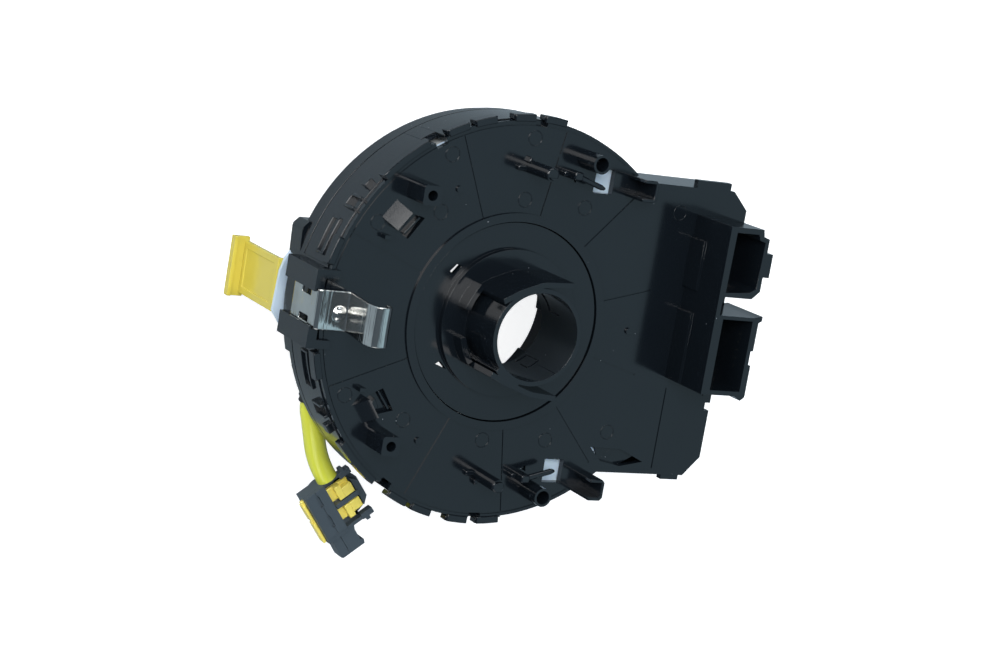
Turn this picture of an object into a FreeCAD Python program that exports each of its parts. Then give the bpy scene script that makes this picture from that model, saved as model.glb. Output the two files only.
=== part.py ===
import FreeCAD, Part
import math
import os

# Steering clock spring, millimetres. Z is the turning axis, with 0 on the back face of the housing
# plate. +Z points at the steering column, +X at the two harness sockets.

V = FreeCAD.Vector

# fits
RUN_GAP = 0.3        # rotor disc in the plate hole
SNUG_GAP = 0.05      # parts that are pushed together
SLIDE_GAP = 0.12     # slides and levers

# back plate
PLATE_R = 53.9
PLATE_T = 2.0
EXT_Y = 41.0         # upper edge of the side extension
EXT_LOW_Y = -39.7
EXT_X = 69.2
RING_W = 2.3         # raised ring round the rotor disc
RING_H = 0.6
GROOVE_W = 0.4
GROOVE_D = 0.25

# posts on the plate
SCREW_X = -32.7
SCREW_Y = 32.9
SCREW_TOP = 9.4
SCREW_W = 5.1
SCREW_HOLE_R = 1.35
TUBE_X = 15.6
TUBE_Y = 45.4
TUBE_TOP = 8.5
TUBE_R = 2.55
TUBE_HOLE_R = 1.9
PIN_X = -0.6
PIN_Y = 41.8
PIN_TOP = 12.0
PIN_R = 1.8
CHANNEL_X = 25.3
CHANNEL_L = 5.1
CHANNEL_Y = 38.8
CHANNEL_W = 6.2
CHANNEL_WALL = 1.0
TOWER_TOP = 17.4     # sockets, channels and hub tube end at one height

# outer case
CASE_R = 54.2
CASE_WALL = 1.6
CASE_FRONT = -19.7
LIP_R = 46.0
LIP_T = 1.3
EXT_FRONT = -20.5
EXT_WALL = 1.6
EAR_R = 55.7

# rotor
HUB_R = 26.9
BORE_R = 11.73
HUB_TUBE_R = 13.0
STEP_R = 20.0
STEP_H = 1.8
COLLAR_R = 16.7
COLLAR_IN_R = 15.2
COLLAR_TOP = 6.5
BARREL_R = 26.4
BARREL_IN_R = 24.9
ROTOR_END = -28.4
FLANGE_TOP = -20.4
FLANGE_T = 1.2
FLANGE_R = 53.4

# flat cable and its carrier
CABLE_T = 0.3
CABLE_PITCH = 0.5
CABLE_TOP = -4.4
CABLE_W = 13.2
OUTER_PACK_R = 51.3
INNER_PACK_R = 28.6
OUTER_HALVES = 3
INNER_HALVES = 5
TURN_ANGLE = 150.0
CARRIER_TOP = -2.6
CARRIER_T = 1.4
CARRIER_R = 51.9
CARRIER_IN_R = 30.6
AXLE_R = 2.0
ROLLER_R = 9.4
ROLLER_GAP = 0.1

# socket pins
PIN_W = 0.64
PIN_PITCH = 2.23
BLOCK_ANGLES = (-30.0, -2.0)

# airbag lead and plug
LEAD_R = 3.0
LEAD_Z = -26.0
PLUG_TURN = -51.3
PLUG_AT = (-37.4, -58.3)
PLUG_L = 16.0
PLUG_W = 15.0
PLUG_ENTRY = 9.0
PLUG_TOP = -21.6
PLUG_DECK = -26.1
PLUG_FOOT = -32.0

# spring clip
CLIP_T = 0.5
CLIP_W = 10.3
CLIP_LEG_X = -56.1


def box(x0, x1, y0, y1, z0, z1):
    """Return a box between two corners."""
    return Part.makeBox(x1 - x0, y1 - y0, z1 - z0, V(x0, y0, z0))


def disc(r, z0, z1, x=0.0, y=0.0):
    """Return an upright cylinder."""
    return Part.makeCylinder(r, z1 - z0, V(x, y, z0))


def ring(r, r_in, z0, z1, x=0.0, y=0.0):
    """Return an upright tube."""
    return disc(r, z0, z1, x, y).cut(disc(r_in, z0, z1, x, y))


def sector(r, r_in, z0, z1, a0, a1):
    """Return the part of a tube between two angles in degrees."""
    outer = Part.makeCylinder(r, z1 - z0, V(0, 0, z0), V(0, 0, 1), a1 - a0)
    inner = Part.makeCylinder(r_in, z1 - z0, V(0, 0, z0), V(0, 0, 1), a1 - a0)
    shape = outer.cut(inner)
    shape.rotate(V(0, 0, 0), V(0, 0, 1), a0)
    return shape


def prism(points, z0, z1):
    """Return an upright prism over a polygon of (x, y) points."""
    wire = Part.makePolygon([V(x, y, z0) for x, y in points + points[:1]])
    return Part.Face(wire).extrude(V(0, 0, z1 - z0))


def wedge(p, q, out, height):
    """Return a ramp along the line p-q that falls from the height to 0 over the vector out."""
    a = V(p[0], p[1], 0)
    b = V(q[0], q[1], 0)
    wire = Part.makePolygon([a, a + V(out[0], out[1], 0), a + V(0, 0, height), a])
    return Part.Face(wire).extrude(b - a)


def fin(p, q, thick, z0, z1):
    """Return an upright wall of the given thickness along the line p-q."""
    dx = q[0] - p[0]
    dy = q[1] - p[1]
    size = math.hypot(dx, dy)
    nx = -dy / size * thick / 2
    ny = dx / size * thick / 2
    corners = [(p[0] + nx, p[1] + ny), (q[0] + nx, q[1] + ny), (q[0] - nx, q[1] - ny), (p[0] - nx, p[1] - ny)]
    return prism(corners, z0, z1)


def joined(*shapes):
    """Fuse shapes into one solid and merge their coplanar faces."""
    return shapes[0].multiFuse(list(shapes[1:])).removeSplitter()


def without(base, *tools):
    """Cut the tools out of the base."""
    return base.cut(Part.makeCompound(list(tools)))


def both_sides(shape):
    """Return the shape and its mirror image in the plane y = 0."""
    return [shape, shape.mirror(V(0, 0, 0), V(0, 1, 0))]


def turned(shape, angle):
    """Return a copy turned about the Z axis."""
    copy = shape.copy()
    copy.rotate(V(0, 0, 0), V(0, 0, 1), angle)
    return copy


def polar(r, angle):
    """Return (x, y) of a point in polar form."""
    return r * math.cos(math.radians(angle)), r * math.sin(math.radians(angle))


def corner_arc(before, corner, after, radius):
    """Return start, middle, end, centre and side of the arc that rounds a corner."""
    d1 = (corner - before).normalize()
    d2 = (after - corner).normalize()
    half = d1.getAngle(d2) / 2
    reach = radius * math.tan(half)
    inward = (d2 - d1).normalize()
    centre = corner + inward * (radius / math.cos(half))
    return corner - d1 * reach, centre - inward * radius, corner + d2 * reach, centre, inward


def round_path(points, radii, shift, normal):
    """Return the edges of a path with rounded corners, moved sideways by the shift."""
    edges = []
    at = None
    for i in range(1, len(points) - 1):
        start, middle, end, centre, inward = corner_arc(points[i - 1], points[i], points[i + 1], radii[i - 1])
        side = (points[i] - points[i - 1]).normalize().cross(normal)
        radius = radii[i - 1] - shift if side.dot(inward) > 0 else radii[i - 1] + shift
        trio = [centre + (p - centre).normalize() * radius for p in (start, middle, end)]
        first = points[0] + side * shift if at is None else at
        edges.append(Part.LineSegment(first, trio[0]).toShape())
        edges.append(Part.Arc(trio[0], trio[1], trio[2]).toShape())
        at = trio[2]
    side = (points[-1] - points[-2]).normalize().cross(normal)
    edges.append(Part.LineSegment(at, points[-1] + side * shift).toShape())
    return edges


def strip(points, radii, thick, normal, depth):
    """Return a bent strip: a path with rounded corners, given a thickness and a width."""
    left = round_path(points, radii, thick / 2, normal)
    right = round_path(points, radii, -thick / 2, normal)
    start = Part.LineSegment(left[0].Vertexes[0].Point, right[0].Vertexes[0].Point).toShape()
    end = Part.LineSegment(left[-1].Vertexes[-1].Point, right[-1].Vertexes[-1].Point).toShape()
    wire = Part.Wire(Part.__sortEdges__(left + [end] + right + [start]))
    return Part.Face(wire).extrude(normal * depth)


# housing

def extension_outline(grow):
    """Return the outline of the side extension, grown outward by a distance."""
    top = EXT_Y + grow
    low = EXT_LOW_Y - grow
    far = EXT_X + grow
    return [(30.0, top), (64.4, top), (far, 36.3), (far, -34.4), (64.6, low), (30.0, low)]


def plate_windows():
    """Return the tools that open the windows, notches and slots of the back plate."""
    tools = both_sides(prism([(-34.2, 27.0), (-29.0, 25.6), (-32.9, 19.8), (-37.6, 22.3)], -PLATE_T, RING_H))
    tools += both_sides(prism([(19.3, 36.9), (23.8, 37.1), (23.8, 43.2), (19.5, 43.4)], -PLATE_T, RING_H))
    slant = [(32.9, -32.9), (42.6, -33.1), (50.6, -36.5), (43.3, -38.0), (36.9, -36.8)]
    tools.append(prism(slant, -PLATE_T, RING_H))
    tools += both_sides(sector(PLATE_R + 1, 52.2, -PLATE_T, RING_H, 119.6, 123.2))
    tools += both_sides(sector(PLATE_R + 1, 52.6, -PLATE_T, RING_H, 87.6, 91.4))
    tools.append(box(64.8, EXT_X + 1, 9.7, 14.8, -PLATE_T, RING_H))
    tools.append(box(67.4, EXT_X + 1, -20.8, -18.6, -PLATE_T, RING_H))
    tools.append(box(58.6, 62.4, 17.4, 26.8, -PLATE_T, RING_H))
    tools.append(box(57.6, 64.6, -7.0, 4.6, -PLATE_T, RING_H))
    return tools


def plate_grooves():
    """Return the shallow radial and edge lines on the back face."""
    z0 = -GROOVE_D
    z1 = RING_H
    tools = []
    for angle, reach in ((15.5, 44.5), (48.3, 50.0), (81.0, 52.7), (114.3, 52.7), (157.5, 52.7)):
        line = box(HUB_R + RUN_GAP + RING_W, reach, -GROOVE_W / 2, GROOVE_W / 2, z0, z1)
        tools += both_sides(turned(line, angle))
    tools.append(sector(53.0, 53.0 - GROOVE_W, z0, z1, 52, 308))
    tools.append(box(53.7, 53.7 + GROOVE_W, -38.2, -15.1, z0, z1))
    tools.append(fin((50.2, -11.9), (66.6, -16.5), GROOVE_W, z0, z1))
    return tools


def screw_post():
    """Return one square post for the switch screws."""
    half = SCREW_W / 2
    block = box(SCREW_X - half, SCREW_X + half, SCREW_Y - half, SCREW_Y + half, -0.5, SCREW_TOP)
    corners = [e for e in block.Edges if abs(e.Length - SCREW_TOP - 0.5) < 0.01]
    foot = box(SCREW_X - 6.2, SCREW_X - half, SCREW_Y - 0.6, SCREW_Y + 0.6, -0.5, 4.0)
    return block.makeFillet(0.8, corners).fuse(foot)


def guide_fins():
    """Return the pin, its long fin with the small pads, and the finger over the window."""
    pin = disc(PIN_R, -0.5, PIN_TOP, PIN_X, PIN_Y)
    tip = disc(PIN_R - 0.5, PIN_TOP, PIN_TOP + 0.7, PIN_X, PIN_Y)
    wall = fin((-14.0, 45.1), (PIN_X, PIN_Y), 0.9, -0.5, 9.0)
    rib = fin((-5.5, 46.6), (-6.3, 43.4), 0.9, -0.5, 7.0)
    pad = box(-11.6, -8.6, 41.6, 44.2, -0.5, 6.4)
    finger_root = box(9.6, 13.0, 37.4, 39.7, -0.5, 4.8)
    finger = prism([(12.5, 37.4), (20.4, 37.2), (22.2, 38.5), (20.4, 39.7), (12.5, 39.7)], 3.4, 4.8)
    web = fin((4.6, 45.6), (TUBE_X, TUBE_Y), 0.9, -0.5, 6.4)
    stop = fin((9.2, 42.4), (9.9, 45.5), 0.9, -0.5, 6.4)
    return [pin, tip, wall, rib, pad, finger_root, finger, web, stop]


def guide_tube():
    """Return one round guide tube."""
    return disc(TUBE_R, -0.5, TUBE_TOP, TUBE_X, TUBE_Y)


def channel_post():
    """Return one upright channel that is open toward -X."""
    x1 = CHANNEL_X + CHANNEL_L
    y1 = CHANNEL_Y + CHANNEL_W
    block = box(CHANNEL_X, x1, CHANNEL_Y, y1, -PLATE_T, TOWER_TOP)
    far = [e for e in block.Edges if abs(e.Length - TOWER_TOP - PLATE_T) < 0.01 and e.CenterOfMass.x > x1 - 0.1]
    block = block.makeFillet(1.2, far)
    wall = CHANNEL_WALL
    return block.cut(box(CHANNEL_X, x1 - wall, CHANNEL_Y + wall, y1 - wall, 0, TOWER_TOP))


def edge_ears():
    """Return the ears that grip the case from outside and the tabs on the extension."""
    parts = []
    for a0, a1 in ((81.0, 90.8), (110.5, 118.6), (124.2, 139.6), (160.2, 168.0)):
        parts += both_sides(ear(a0, a1))
    parts.append(box(52.0, 63.0, EXT_Y, EXT_Y + 2.3, -PLATE_T, 0))
    parts.append(box(57.5, 63.2, EXT_LOW_Y - 1.5, EXT_LOW_Y, -PLATE_T, 0))
    return parts


def ear(a0, a1):
    """Return one ear between two angles."""
    top = sector(EAR_R, PLATE_R - 1, -PLATE_T, 0, a0, a1)
    skirt = sector(EAR_R, CASE_R + SNUG_GAP, -4.6, -PLATE_T, a0, a1)
    return top.fuse(skirt)


def window_ramps():
    """Return the sloping hoods beside the two left windows."""
    ramp = wedge((-37.6, 22.3), (-34.2, 27.0), (-3.6, 2.6), 3.0)
    nub = box(-40.6, -38.8, 19.6, 20.6, -0.5, 2.4)
    return both_sides(ramp) + both_sides(nub)


def make_back_plate():
    """Return the back plate with its posts."""
    plate = disc(PLATE_R, -PLATE_T, 0).fuse(prism(extension_outline(0.2), -PLATE_T, 0))
    rim = ring(HUB_R + RUN_GAP + RING_W, HUB_R + RUN_GAP, 0, RING_H)
    plate = joined(plate, rim, *edge_ears())
    plate = without(plate, disc(HUB_R + RUN_GAP, -PLATE_T, RING_H), *(plate_windows() + plate_grooves()))
    posts = window_ramps()
    for post in [screw_post(), guide_tube(), channel_post()] + guide_fins():
        posts += both_sides(post)
    for x, y in ((-20.5, 34.0), (-20.3, -33.4), (38.2, 0.1)):
        posts.append(disc(0.9, -0.1, 0.6, x, y))
    plate = joined(plate, *posts)
    holes = both_sides(disc(SCREW_HOLE_R, -PLATE_T, SCREW_TOP, SCREW_X, SCREW_Y))
    holes += both_sides(disc(TUBE_HOLE_R, -PLATE_T, TUBE_TOP, TUBE_X, TUBE_Y))
    return without(plate, *holes)


def case_shell():
    """Return the round wall, its front lip and the hollow side extension."""
    top = -PLATE_T
    outer = disc(CASE_R, CASE_FRONT, top)
    wing = prism(extension_outline(0.0), EXT_FRONT, top)
    hollow = prism(extension_outline(-EXT_WALL), EXT_FRONT + EXT_WALL, top)
    shell = joined(outer, wing.cut(disc(CASE_R, EXT_FRONT, CASE_FRONT)))
    shell = shell.cut(hollow.cut(disc(CASE_R, EXT_FRONT, top)))
    shell = shell.cut(disc(CASE_R - CASE_WALL, CASE_FRONT + LIP_T, top))
    shell = shell.cut(disc(LIP_R, CASE_FRONT, top))
    slot = sector(CASE_R + 1, CASE_R - CASE_WALL - 1, CABLE_TOP - CABLE_W - 0.2, top, -22, -6)
    return shell.cut(slot)


def clip_holder():
    """Return one of the two blocks that hold the foot of the spring clip."""
    block = box(-57.2, -53.4, 4.5, 10.3, -17.7, -PLATE_T)
    head = box(-57.2, -54.6, 4.5, 10.3, -PLATE_T, 1.2)
    tab = box(-57.2, -50.6, 8.0, 10.3, SNUG_GAP, 1.2)
    return joined(block, head, tab).cut(disc(CASE_R - CASE_WALL, -18, -PLATE_T))


def rim_lugs():
    """Return the lugs with hook pockets on the outside of the case."""
    parts = []
    for a0, a1, reach in ((142.0, 146.0, 58.4), (149.2, 152.0, 58.8), (155.0, 158.5, 57.6)):
        lug = sector(reach, CASE_R - 0.5, -7.5, -1.0, a0, a1)
        pocket = sector(reach - 0.9, CASE_R + 0.7, -5.5, -1.0, a0 + 0.9, a1 - 0.9)
        parts.append(lug.cut(pocket))
    shift = sector(57.6, CASE_R - 0.5, -7.5, -1.0, 208.0, 212.0)
    parts += [shift, sector(57.6, CASE_R - 0.5, -7.5, -1.0, 214.4, 219.0)]
    parts.append(sector(57.8, CASE_R - 0.5, -7.5, -1.0, 201.0, 204.2))
    return [p.cut(disc(PLATE_R + 0.1, -PLATE_T, 0)) for p in parts]


def case_ribs():
    """Return the upright ribs on the outside of the round wall."""
    ribs = []
    for angle in (96, 104, 112, 150, 172, 188, 200, 212):
        rib = box(CASE_R - 0.4, CASE_R + 0.8, -0.6, 0.6, CASE_FRONT, -8.0)
        ribs.append(turned(rib, angle))
    return ribs


def make_outer_case(clip):
    """Return the case, with the seat of the clip cut from its holders."""
    parts = both_sides(clip_holder()) + rim_lugs() + case_ribs()
    case = joined(case_shell(), *parts)
    leg = box(CLIP_LEG_X - CLIP_T, CLIP_LEG_X + CLIP_T, -CLIP_W / 2 - 0.1, CLIP_W / 2 + 0.1, -13.4, 3)
    return without(case, leg, clip)


def make_connector_block(pins):
    """Return the tower with the two harness sockets and the wall beside them."""
    wall = box(53.6, 55.0, -12.3, 34.0, 0, TOWER_TOP)
    ribs = [box(52.8, 53.6, 14.1, 27.6, 0, 7.0), box(52.8, 53.6, -12.0, 7.6, 0, 7.0)]
    upper = prism([(54, 14.8), (64.2, 14.8), (66.5, 17.0), (66.5, 31.5), (64.6, 32.1), (64.2, 34), (54, 34)],
                  0, TOWER_TOP)
    upper_mouth = prism([(55.5, 16.0), (63.2, 16.5), (65.0, 17.6), (65.3, 30.5), (63.5, 30.9), (62.8, 32.5),
                         (55.7, 32.5)], 3.0, TOWER_TOP)
    bump = box(66.4, 68.5, 21.0, 27.5, 9.0, TOWER_TOP)
    rail = box(66.4, 67.3, 17.5, 31.5, 0, 9.0)
    lower = box(54, 68, -12.3, 9.7, 0, TOWER_TOP)
    lower_mouth = box(56.3, 66.0, -11.0, 8.7, 3.0, TOWER_TOP)
    thin = box(67.2, 68.1, -3.5, 0.5, 2.0, TOWER_TOP)
    lip = prism([(66.0, 9.7), (69.0, 10.3), (69.0, 9.0), (68.0, 8.4)], 0, TOWER_TOP)
    foot = prism([(64.5, -12.3), (66.7, -13.5), (67.9, -12.6), (67.9, -12.0)], 0, TOWER_TOP)
    body = joined(wall, *ribs, upper, bump, rail, lower, lip, foot)
    return without(body, upper_mouth, lower_mouth, thin, *pins)


def square(x, y, half, z):
    """Return a level square wire round a point."""
    corners = [V(x + sx * half, y + sy * half, z) for sx, sy in ((-1, -1), (1, -1), (1, 1), (-1, 1))]
    return Part.makePolygon(corners + corners[:1])


def straight_pin(x, y, z0, z1):
    """Return a square pin with a pointed tip at its upper end."""
    half = PIN_W / 2
    shaft = box(x - half, x + half, y - half, y + half, z0, z1 - PIN_W)
    low = square(x, y, half, z1 - PIN_W)
    high = square(x, y, half / 2, z1)
    return shaft.fuse(Part.makeLoft([low, high], True, True))


def make_upper_pins():
    """Return the four pins of the upper socket."""
    return Part.makeCompound([straight_pin(60.5, 18.7 + PIN_PITCH * i, -8.0, 10.0) for i in range(4)])


def make_lower_pins():
    """Return the two rows of pins of the lower socket."""
    return Part.makeCompound([straight_pin(x, -5.65 + PIN_PITCH * i, -8.0, 8.0)
                              for x in (59.4, 62.8) for i in range(5)])


def make_case_block(pins, cable):
    """Return the block that holds the fixed cable end and the pin feet."""
    return without(box(55.6, 66.0, -11.0, 28.0, -18.0, -PLATE_T), cable, *pins)


# flat cable

def half_turns(r, count, start, sense):
    """Return centre, radius, start angle and sense of each half circle of a spiral."""
    arcs = []
    for i in range(count):
        angle = start + 180.0 * i
        shift = CABLE_PITCH / 4
        centre = polar(shift, angle)
        arcs.append((centre, r - shift, angle, sense))
        r -= CABLE_PITCH / 2
    return arcs


def cable_arcs():
    """Return the arcs from the fixed end over the U-turn to the rotor end."""
    start = TURN_ANGLE - 180.0 * OUTER_HALVES
    outer = half_turns(OUTER_PACK_R, OUTER_HALVES, start, -1)
    end_r = OUTER_PACK_R - OUTER_HALVES * CABLE_PITCH / 2
    mean = (end_r + INNER_PACK_R) / 2
    turn = [(polar(mean, TURN_ANGLE), (end_r - INNER_PACK_R) / 2, TURN_ANGLE, -1)]
    return outer, turn, half_turns(INNER_PACK_R, INNER_HALVES, TURN_ANGLE, 1)


def arc_edges(arcs, shift):
    """Return the edges of half circles, each moved outward by the shift."""
    edges = []
    for (cx, cy), r, angle, sense in arcs:
        points = []
        for step in (0.0, 90.0, 180.0):
            x, y = polar(r + shift, angle + sense * step)
            points.append(V(cx + x, cy + y, CABLE_TOP))
        edges.append(Part.Arc(*points).toShape())
    return edges


def make_flat_cable():
    """Return the flat cable: two packs, the U-turn and the straight end into the case block."""
    outer, turn, inner = cable_arcs()
    half = CABLE_T / 2
    start = TURN_ANGLE - 180.0 * OUTER_HALVES
    ux, uy = polar(1.0, start)
    reach = 25.0
    left = arc_edges(outer + turn, half) + arc_edges(inner, -half)
    right = arc_edges(outer + turn, -half) + arc_edges(inner, half)
    ends = []
    for r in (OUTER_PACK_R + half, OUTER_PACK_R - half):
        ends.append(V(ux * r - uy * reach, uy * r + ux * reach, CABLE_TOP))
    a = V(ux * (OUTER_PACK_R + half), uy * (OUTER_PACK_R + half), CABLE_TOP)
    b = V(ux * (OUTER_PACK_R - half), uy * (OUTER_PACK_R - half), CABLE_TOP)
    edges = left + right
    edges += [Part.LineSegment(a, ends[0]).toShape(), Part.LineSegment(ends[0], ends[1]).toShape()]
    edges.append(Part.LineSegment(ends[1], b).toShape())
    last = INNER_PACK_R - INNER_HALVES * CABLE_PITCH / 2
    px, py = polar(1.0, TURN_ANGLE + 180.0 * INNER_HALVES)
    tip = [V(px * (last + s), py * (last + s), CABLE_TOP) for s in (-half, half)]
    edges.append(Part.LineSegment(tip[0], tip[1]).toShape())
    wire = Part.Wire(Part.__sortEdges__(edges))
    return Part.Face(wire).extrude(V(0, 0, -CABLE_W))


def roller_centre(i):
    """Return the place of a roller axle."""
    end_r = OUTER_PACK_R - OUTER_HALVES * CABLE_PITCH / 2
    return polar((end_r + INNER_PACK_R) / 2, TURN_ANGLE - 90.0 * i)


def make_carrier():
    """Return the ring with its four axles."""
    low = CARRIER_TOP - CARRIER_T
    parts = [ring(CARRIER_R, CARRIER_IN_R, low, CARRIER_TOP)]
    foot = CABLE_TOP - CABLE_W
    for i in range(4):
        x, y = roller_centre(i)
        parts.append(disc(AXLE_R, foot + 0.3, low, x, y))
        parts.append(disc(AXLE_R + 0.8, low - 0.3, low, x, y))
        parts.append(disc(AXLE_R + 0.7, foot - 0.5, foot + 0.3, x, y))
    return joined(*parts)


def make_roller(i):
    """Return one roller, a tube on three webs."""
    x, y = roller_centre(i)
    z0 = CABLE_TOP - CABLE_W + 0.4
    z1 = CARRIER_TOP - CARRIER_T - 0.4
    tyre = ring(ROLLER_R, ROLLER_R - 1.2, z0, z1, x, y)
    core = ring(AXLE_R + 1.3, AXLE_R + ROLLER_GAP, z0, z1, x, y)
    web = ring(ROLLER_R - 1.0, AXLE_R + 1.1, z1 - 2.6, z1 - 1.4, x, y)
    return joined(tyre, web, core)


# rotor

def cam_wall(points, thick):
    """Return a curved cam wall that stands on the step of the hub."""
    path = [V(x, y, STEP_H - 0.1) for x, y in points]
    return strip(path, [9.0] * (len(points) - 2), thick, V(0, 0, 1), TOWER_TOP - STEP_H + 0.1)


def make_hub():
    """Return the hub: disc, tube, slotted collar, two cams and the barrel."""
    base = joined(disc(HUB_R, -PLATE_T, 0), disc(STEP_R, 0, STEP_H), disc(HUB_TUBE_R, 0, TOWER_TOP))
    collars = [sector(COLLAR_R, COLLAR_IN_R, 0, COLLAR_TOP, 140.0, 166.5)]
    collars.append(sector(COLLAR_R, COLLAR_IN_R, 0, COLLAR_TOP, 193.5, 220.0))
    upper = cam_wall([(-11.6, 8.7), (-7.2, 11.3), (-0.6, 13.9), (8.2, 14.3)], 1.5)
    lower = cam_wall([(-11.6, -10.5), (-7.0, -12.5), (0.9, -15.2), (8.5, -15.9)], 1.5)
    root = sector(HUB_TUBE_R + 1.2, BORE_R + 0.3, 0, TOWER_TOP, 222.0, 256.0)
    barrel = ring(BARREL_R, BARREL_IN_R, ROTOR_END, -PLATE_T)
    hub = joined(base, barrel, upper, lower, root, *collars)
    bore = disc(BORE_R, -PLATE_T, TOWER_TOP)
    quad = prism([(-17.5, 14.4), (-16.0, 14.0), (-17.9, 11.5), (-19.2, 12.4)], -PLATE_T, STEP_H)
    tri = prism([(-19.0, -12.5), (-17.7, -11.6), (-15.5, -13.7)], -PLATE_T, STEP_H)
    slot = sector(BARREL_R + 1, BARREL_IN_R - 1, ROTOR_END, CABLE_TOP + SNUG_GAP,
                  BLOCK_ANGLES[0] - 0.1, BLOCK_ANGLES[1] + 0.1)
    return without(hub, bore, quad, tri, slot)


def make_rotor_block(pins):
    """Return the block in the barrel wall that holds the turning cable end."""
    block = sector(BARREL_R + 1.1, BARREL_IN_R + 0.1, ROTOR_END + 0.8, CABLE_TOP, *BLOCK_ANGLES)
    return without(block, pins)


def make_front_pins():
    """Return the bent pins of the switch socket."""
    pins = []
    z = FLANGE_TOP - FLANGE_T - 1.3
    for i in range(6):
        y = (i - 2.5) * PIN_PITCH
        leg = box(27.0, 37.3, y - PIN_W / 2, y + PIN_W / 2, z, z + PIN_W)
        pin = box(37.3 - PIN_W, 37.3, y - PIN_W / 2, y + PIN_W / 2, -30.0, z + PIN_W)
        pins.append(turned(leg.fuse(pin), sum(BLOCK_ANGLES) / 2))
    return Part.makeCompound(pins)


def front_socket():
    """Return the outside and the mouth of the switch socket."""
    low = FLANGE_TOP - FLANGE_T
    outer = box(31.0, 43.0, -9.2, 9.2, -34.0, low)
    mouth = box(32.4, 41.6, -7.8, 7.8, -34.0, -25.4)
    angle = sum(BLOCK_ANGLES) / 2
    return turned(outer, angle), turned(mouth, angle)


def lead_frame(shape):
    """Place a shape drawn along X so that it lies along the start of the lead."""
    start, after = lead_points()[:2]
    angle = math.degrees(math.atan2(after.y - start.y, after.x - start.x))
    shape.rotate(V(0, 0, 0), V(0, 0, 1), angle)
    shape.translate(start)
    return shape


def front_ribs():
    """Return the stiffening ribs under the flange."""
    low = FLANGE_TOP - FLANGE_T
    ribs = []
    for angle in (32, 62, 92, 122, 148, 258, 288, 318):
        ribs.append(turned(box(27.5, 52.6, -0.7, 0.7, low - 2.6, low), angle))
    return ribs


def make_front_rotor(pins, lock_plate):
    """Return the front rotor with socket, drive posts, lead outlet, pad and bracket."""
    low = FLANGE_TOP - FLANGE_T
    flange = ring(FLANGE_R, BARREL_R + SNUG_GAP, low, FLANGE_TOP)
    collar = ring(BARREL_R + 1.9, BARREL_R + SNUG_GAP, ROTOR_END, low)
    rim = ring(FLANGE_R, FLANGE_R - 1.6, low - 3.0, low)
    rim = rim.cut(sector(FLANGE_R + 1, FLANGE_R - 3, low - 3.0, low, -150, -122))
    bracket = prism([(-44.0, 18.5), (-50.9, 18.5), (-52.4, 17.0), (-52.6, 16.1), (-52.3, 9.0), (-44.0, 9.0)],
                    ROTOR_END, low)
    bracket = bracket.cut(prism([(-45.4, 17.1), (-50.8, 17.1), (-51.0, 10.4), (-45.4, 10.4)], ROTOR_END, low))
    pad = box(-51.8, -38.0, -11.0, 9.0, ROTOR_END + 1.0, low)
    pad = pad.cut(box(-49.9, -39.4, -9.6, 7.6, ROTOR_END + 1.0, low))
    outlet = lead_frame(box(-9.0, 0.0, -5.4, 5.4, LEAD_Z * 0 - 4.6, 4.3))
    posts = [disc(3.0, -31.5, low, *polar(44.0, a)) for a in (75.0, -105.0 + 30.0)]
    socket, mouth = front_socket()
    body = joined(flange, collar, rim, bracket, pad, outlet, socket, *(front_ribs() + posts))
    nook = sector(BARREL_R + 2.5, BARREL_R - 1, ROTOR_END, FLANGE_TOP, BLOCK_ANGLES[0] - 0.5, BLOCK_ANGLES[1] + 0.5)
    seat = lead_frame(Part.makeCylinder(4.05, 9.0, V(-6.0, 0, 0), V(1, 0, 0)))
    hollows = [disc(1.6, -31.5, low, *polar(44.0, a)) for a in (75.0, -75.0)]
    return without(body, mouth, nook, seat, pins, lock_plate, *hollows)


def make_lock_plate():
    """Return the pale plate that guides the lock tab."""
    outline = [(-49.4, 14.5), (-52.3, 9.4), (-53.6, 7.2), (-54.5, 3.9), (-55.0, -7.0), (-51.4, -11.7),
               (-38.0, -11.0), (-38.0, 9.0), (-45.0, 14.5)]
    plate = prism(outline, ROTOR_END, ROTOR_END + 1.0)
    slot = box(-49.5 - SLIDE_GAP, -48.3 + SLIDE_GAP, -6.2 - SLIDE_GAP, 5.6 + SLIDE_GAP,
               ROTOR_END, ROTOR_END + 1.0)
    return plate.cut(slot)


def make_lock_tab():
    """Return the pull tab: leg in the rotor, foot, upright blade and finger lip."""
    foot_top = ROTOR_END - SNUG_GAP
    leg = box(-49.5, -48.3, -6.2, 5.6, foot_top, -23.2)
    nib = box(-48.4, -47.7, -2.4, 1.8, -26.6, -25.2)
    foot = box(-54.9, -48.3, -7.5, 6.9, foot_top - 1.3, foot_top)
    blade = box(-54.9, -53.6, -7.5, 6.9, -52.4, foot_top)
    blade = blade.cut(box(-55.1, -54.5, -5.6, 5.0, -50.2, -31.0))
    lip = box(-58.4, -53.6, -8.5, 8.0, -53.2, -51.7)
    bead = box(-58.4, -57.3, -8.5, 8.0, -53.2, -50.6)
    return joined(leg, nib, foot, blade, lip, bead)


# airbag lead and plug

def plug_frame(shape):
    """Place a shape drawn in the plug's own frame."""
    shape.rotate(V(0, 0, 0), V(0, 0, 1), PLUG_TURN)
    shape.translate(V(PLUG_AT[0], PLUG_AT[1], 0))
    return shape


def lead_points():
    """Return the corner points of the lead from the rotor outlet to the plug."""
    ux, uy = polar(1.0, PLUG_TURN)
    end = V(PLUG_AT[0] - uy * PLUG_ENTRY, PLUG_AT[1] + ux * PLUG_ENTRY, -29.2)
    back = end - V(ux, uy, 0) * 6.2
    return [V(-40.9, -30.0, LEAD_Z), V(-38.6, -37.0, LEAD_Z), back, end]


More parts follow.
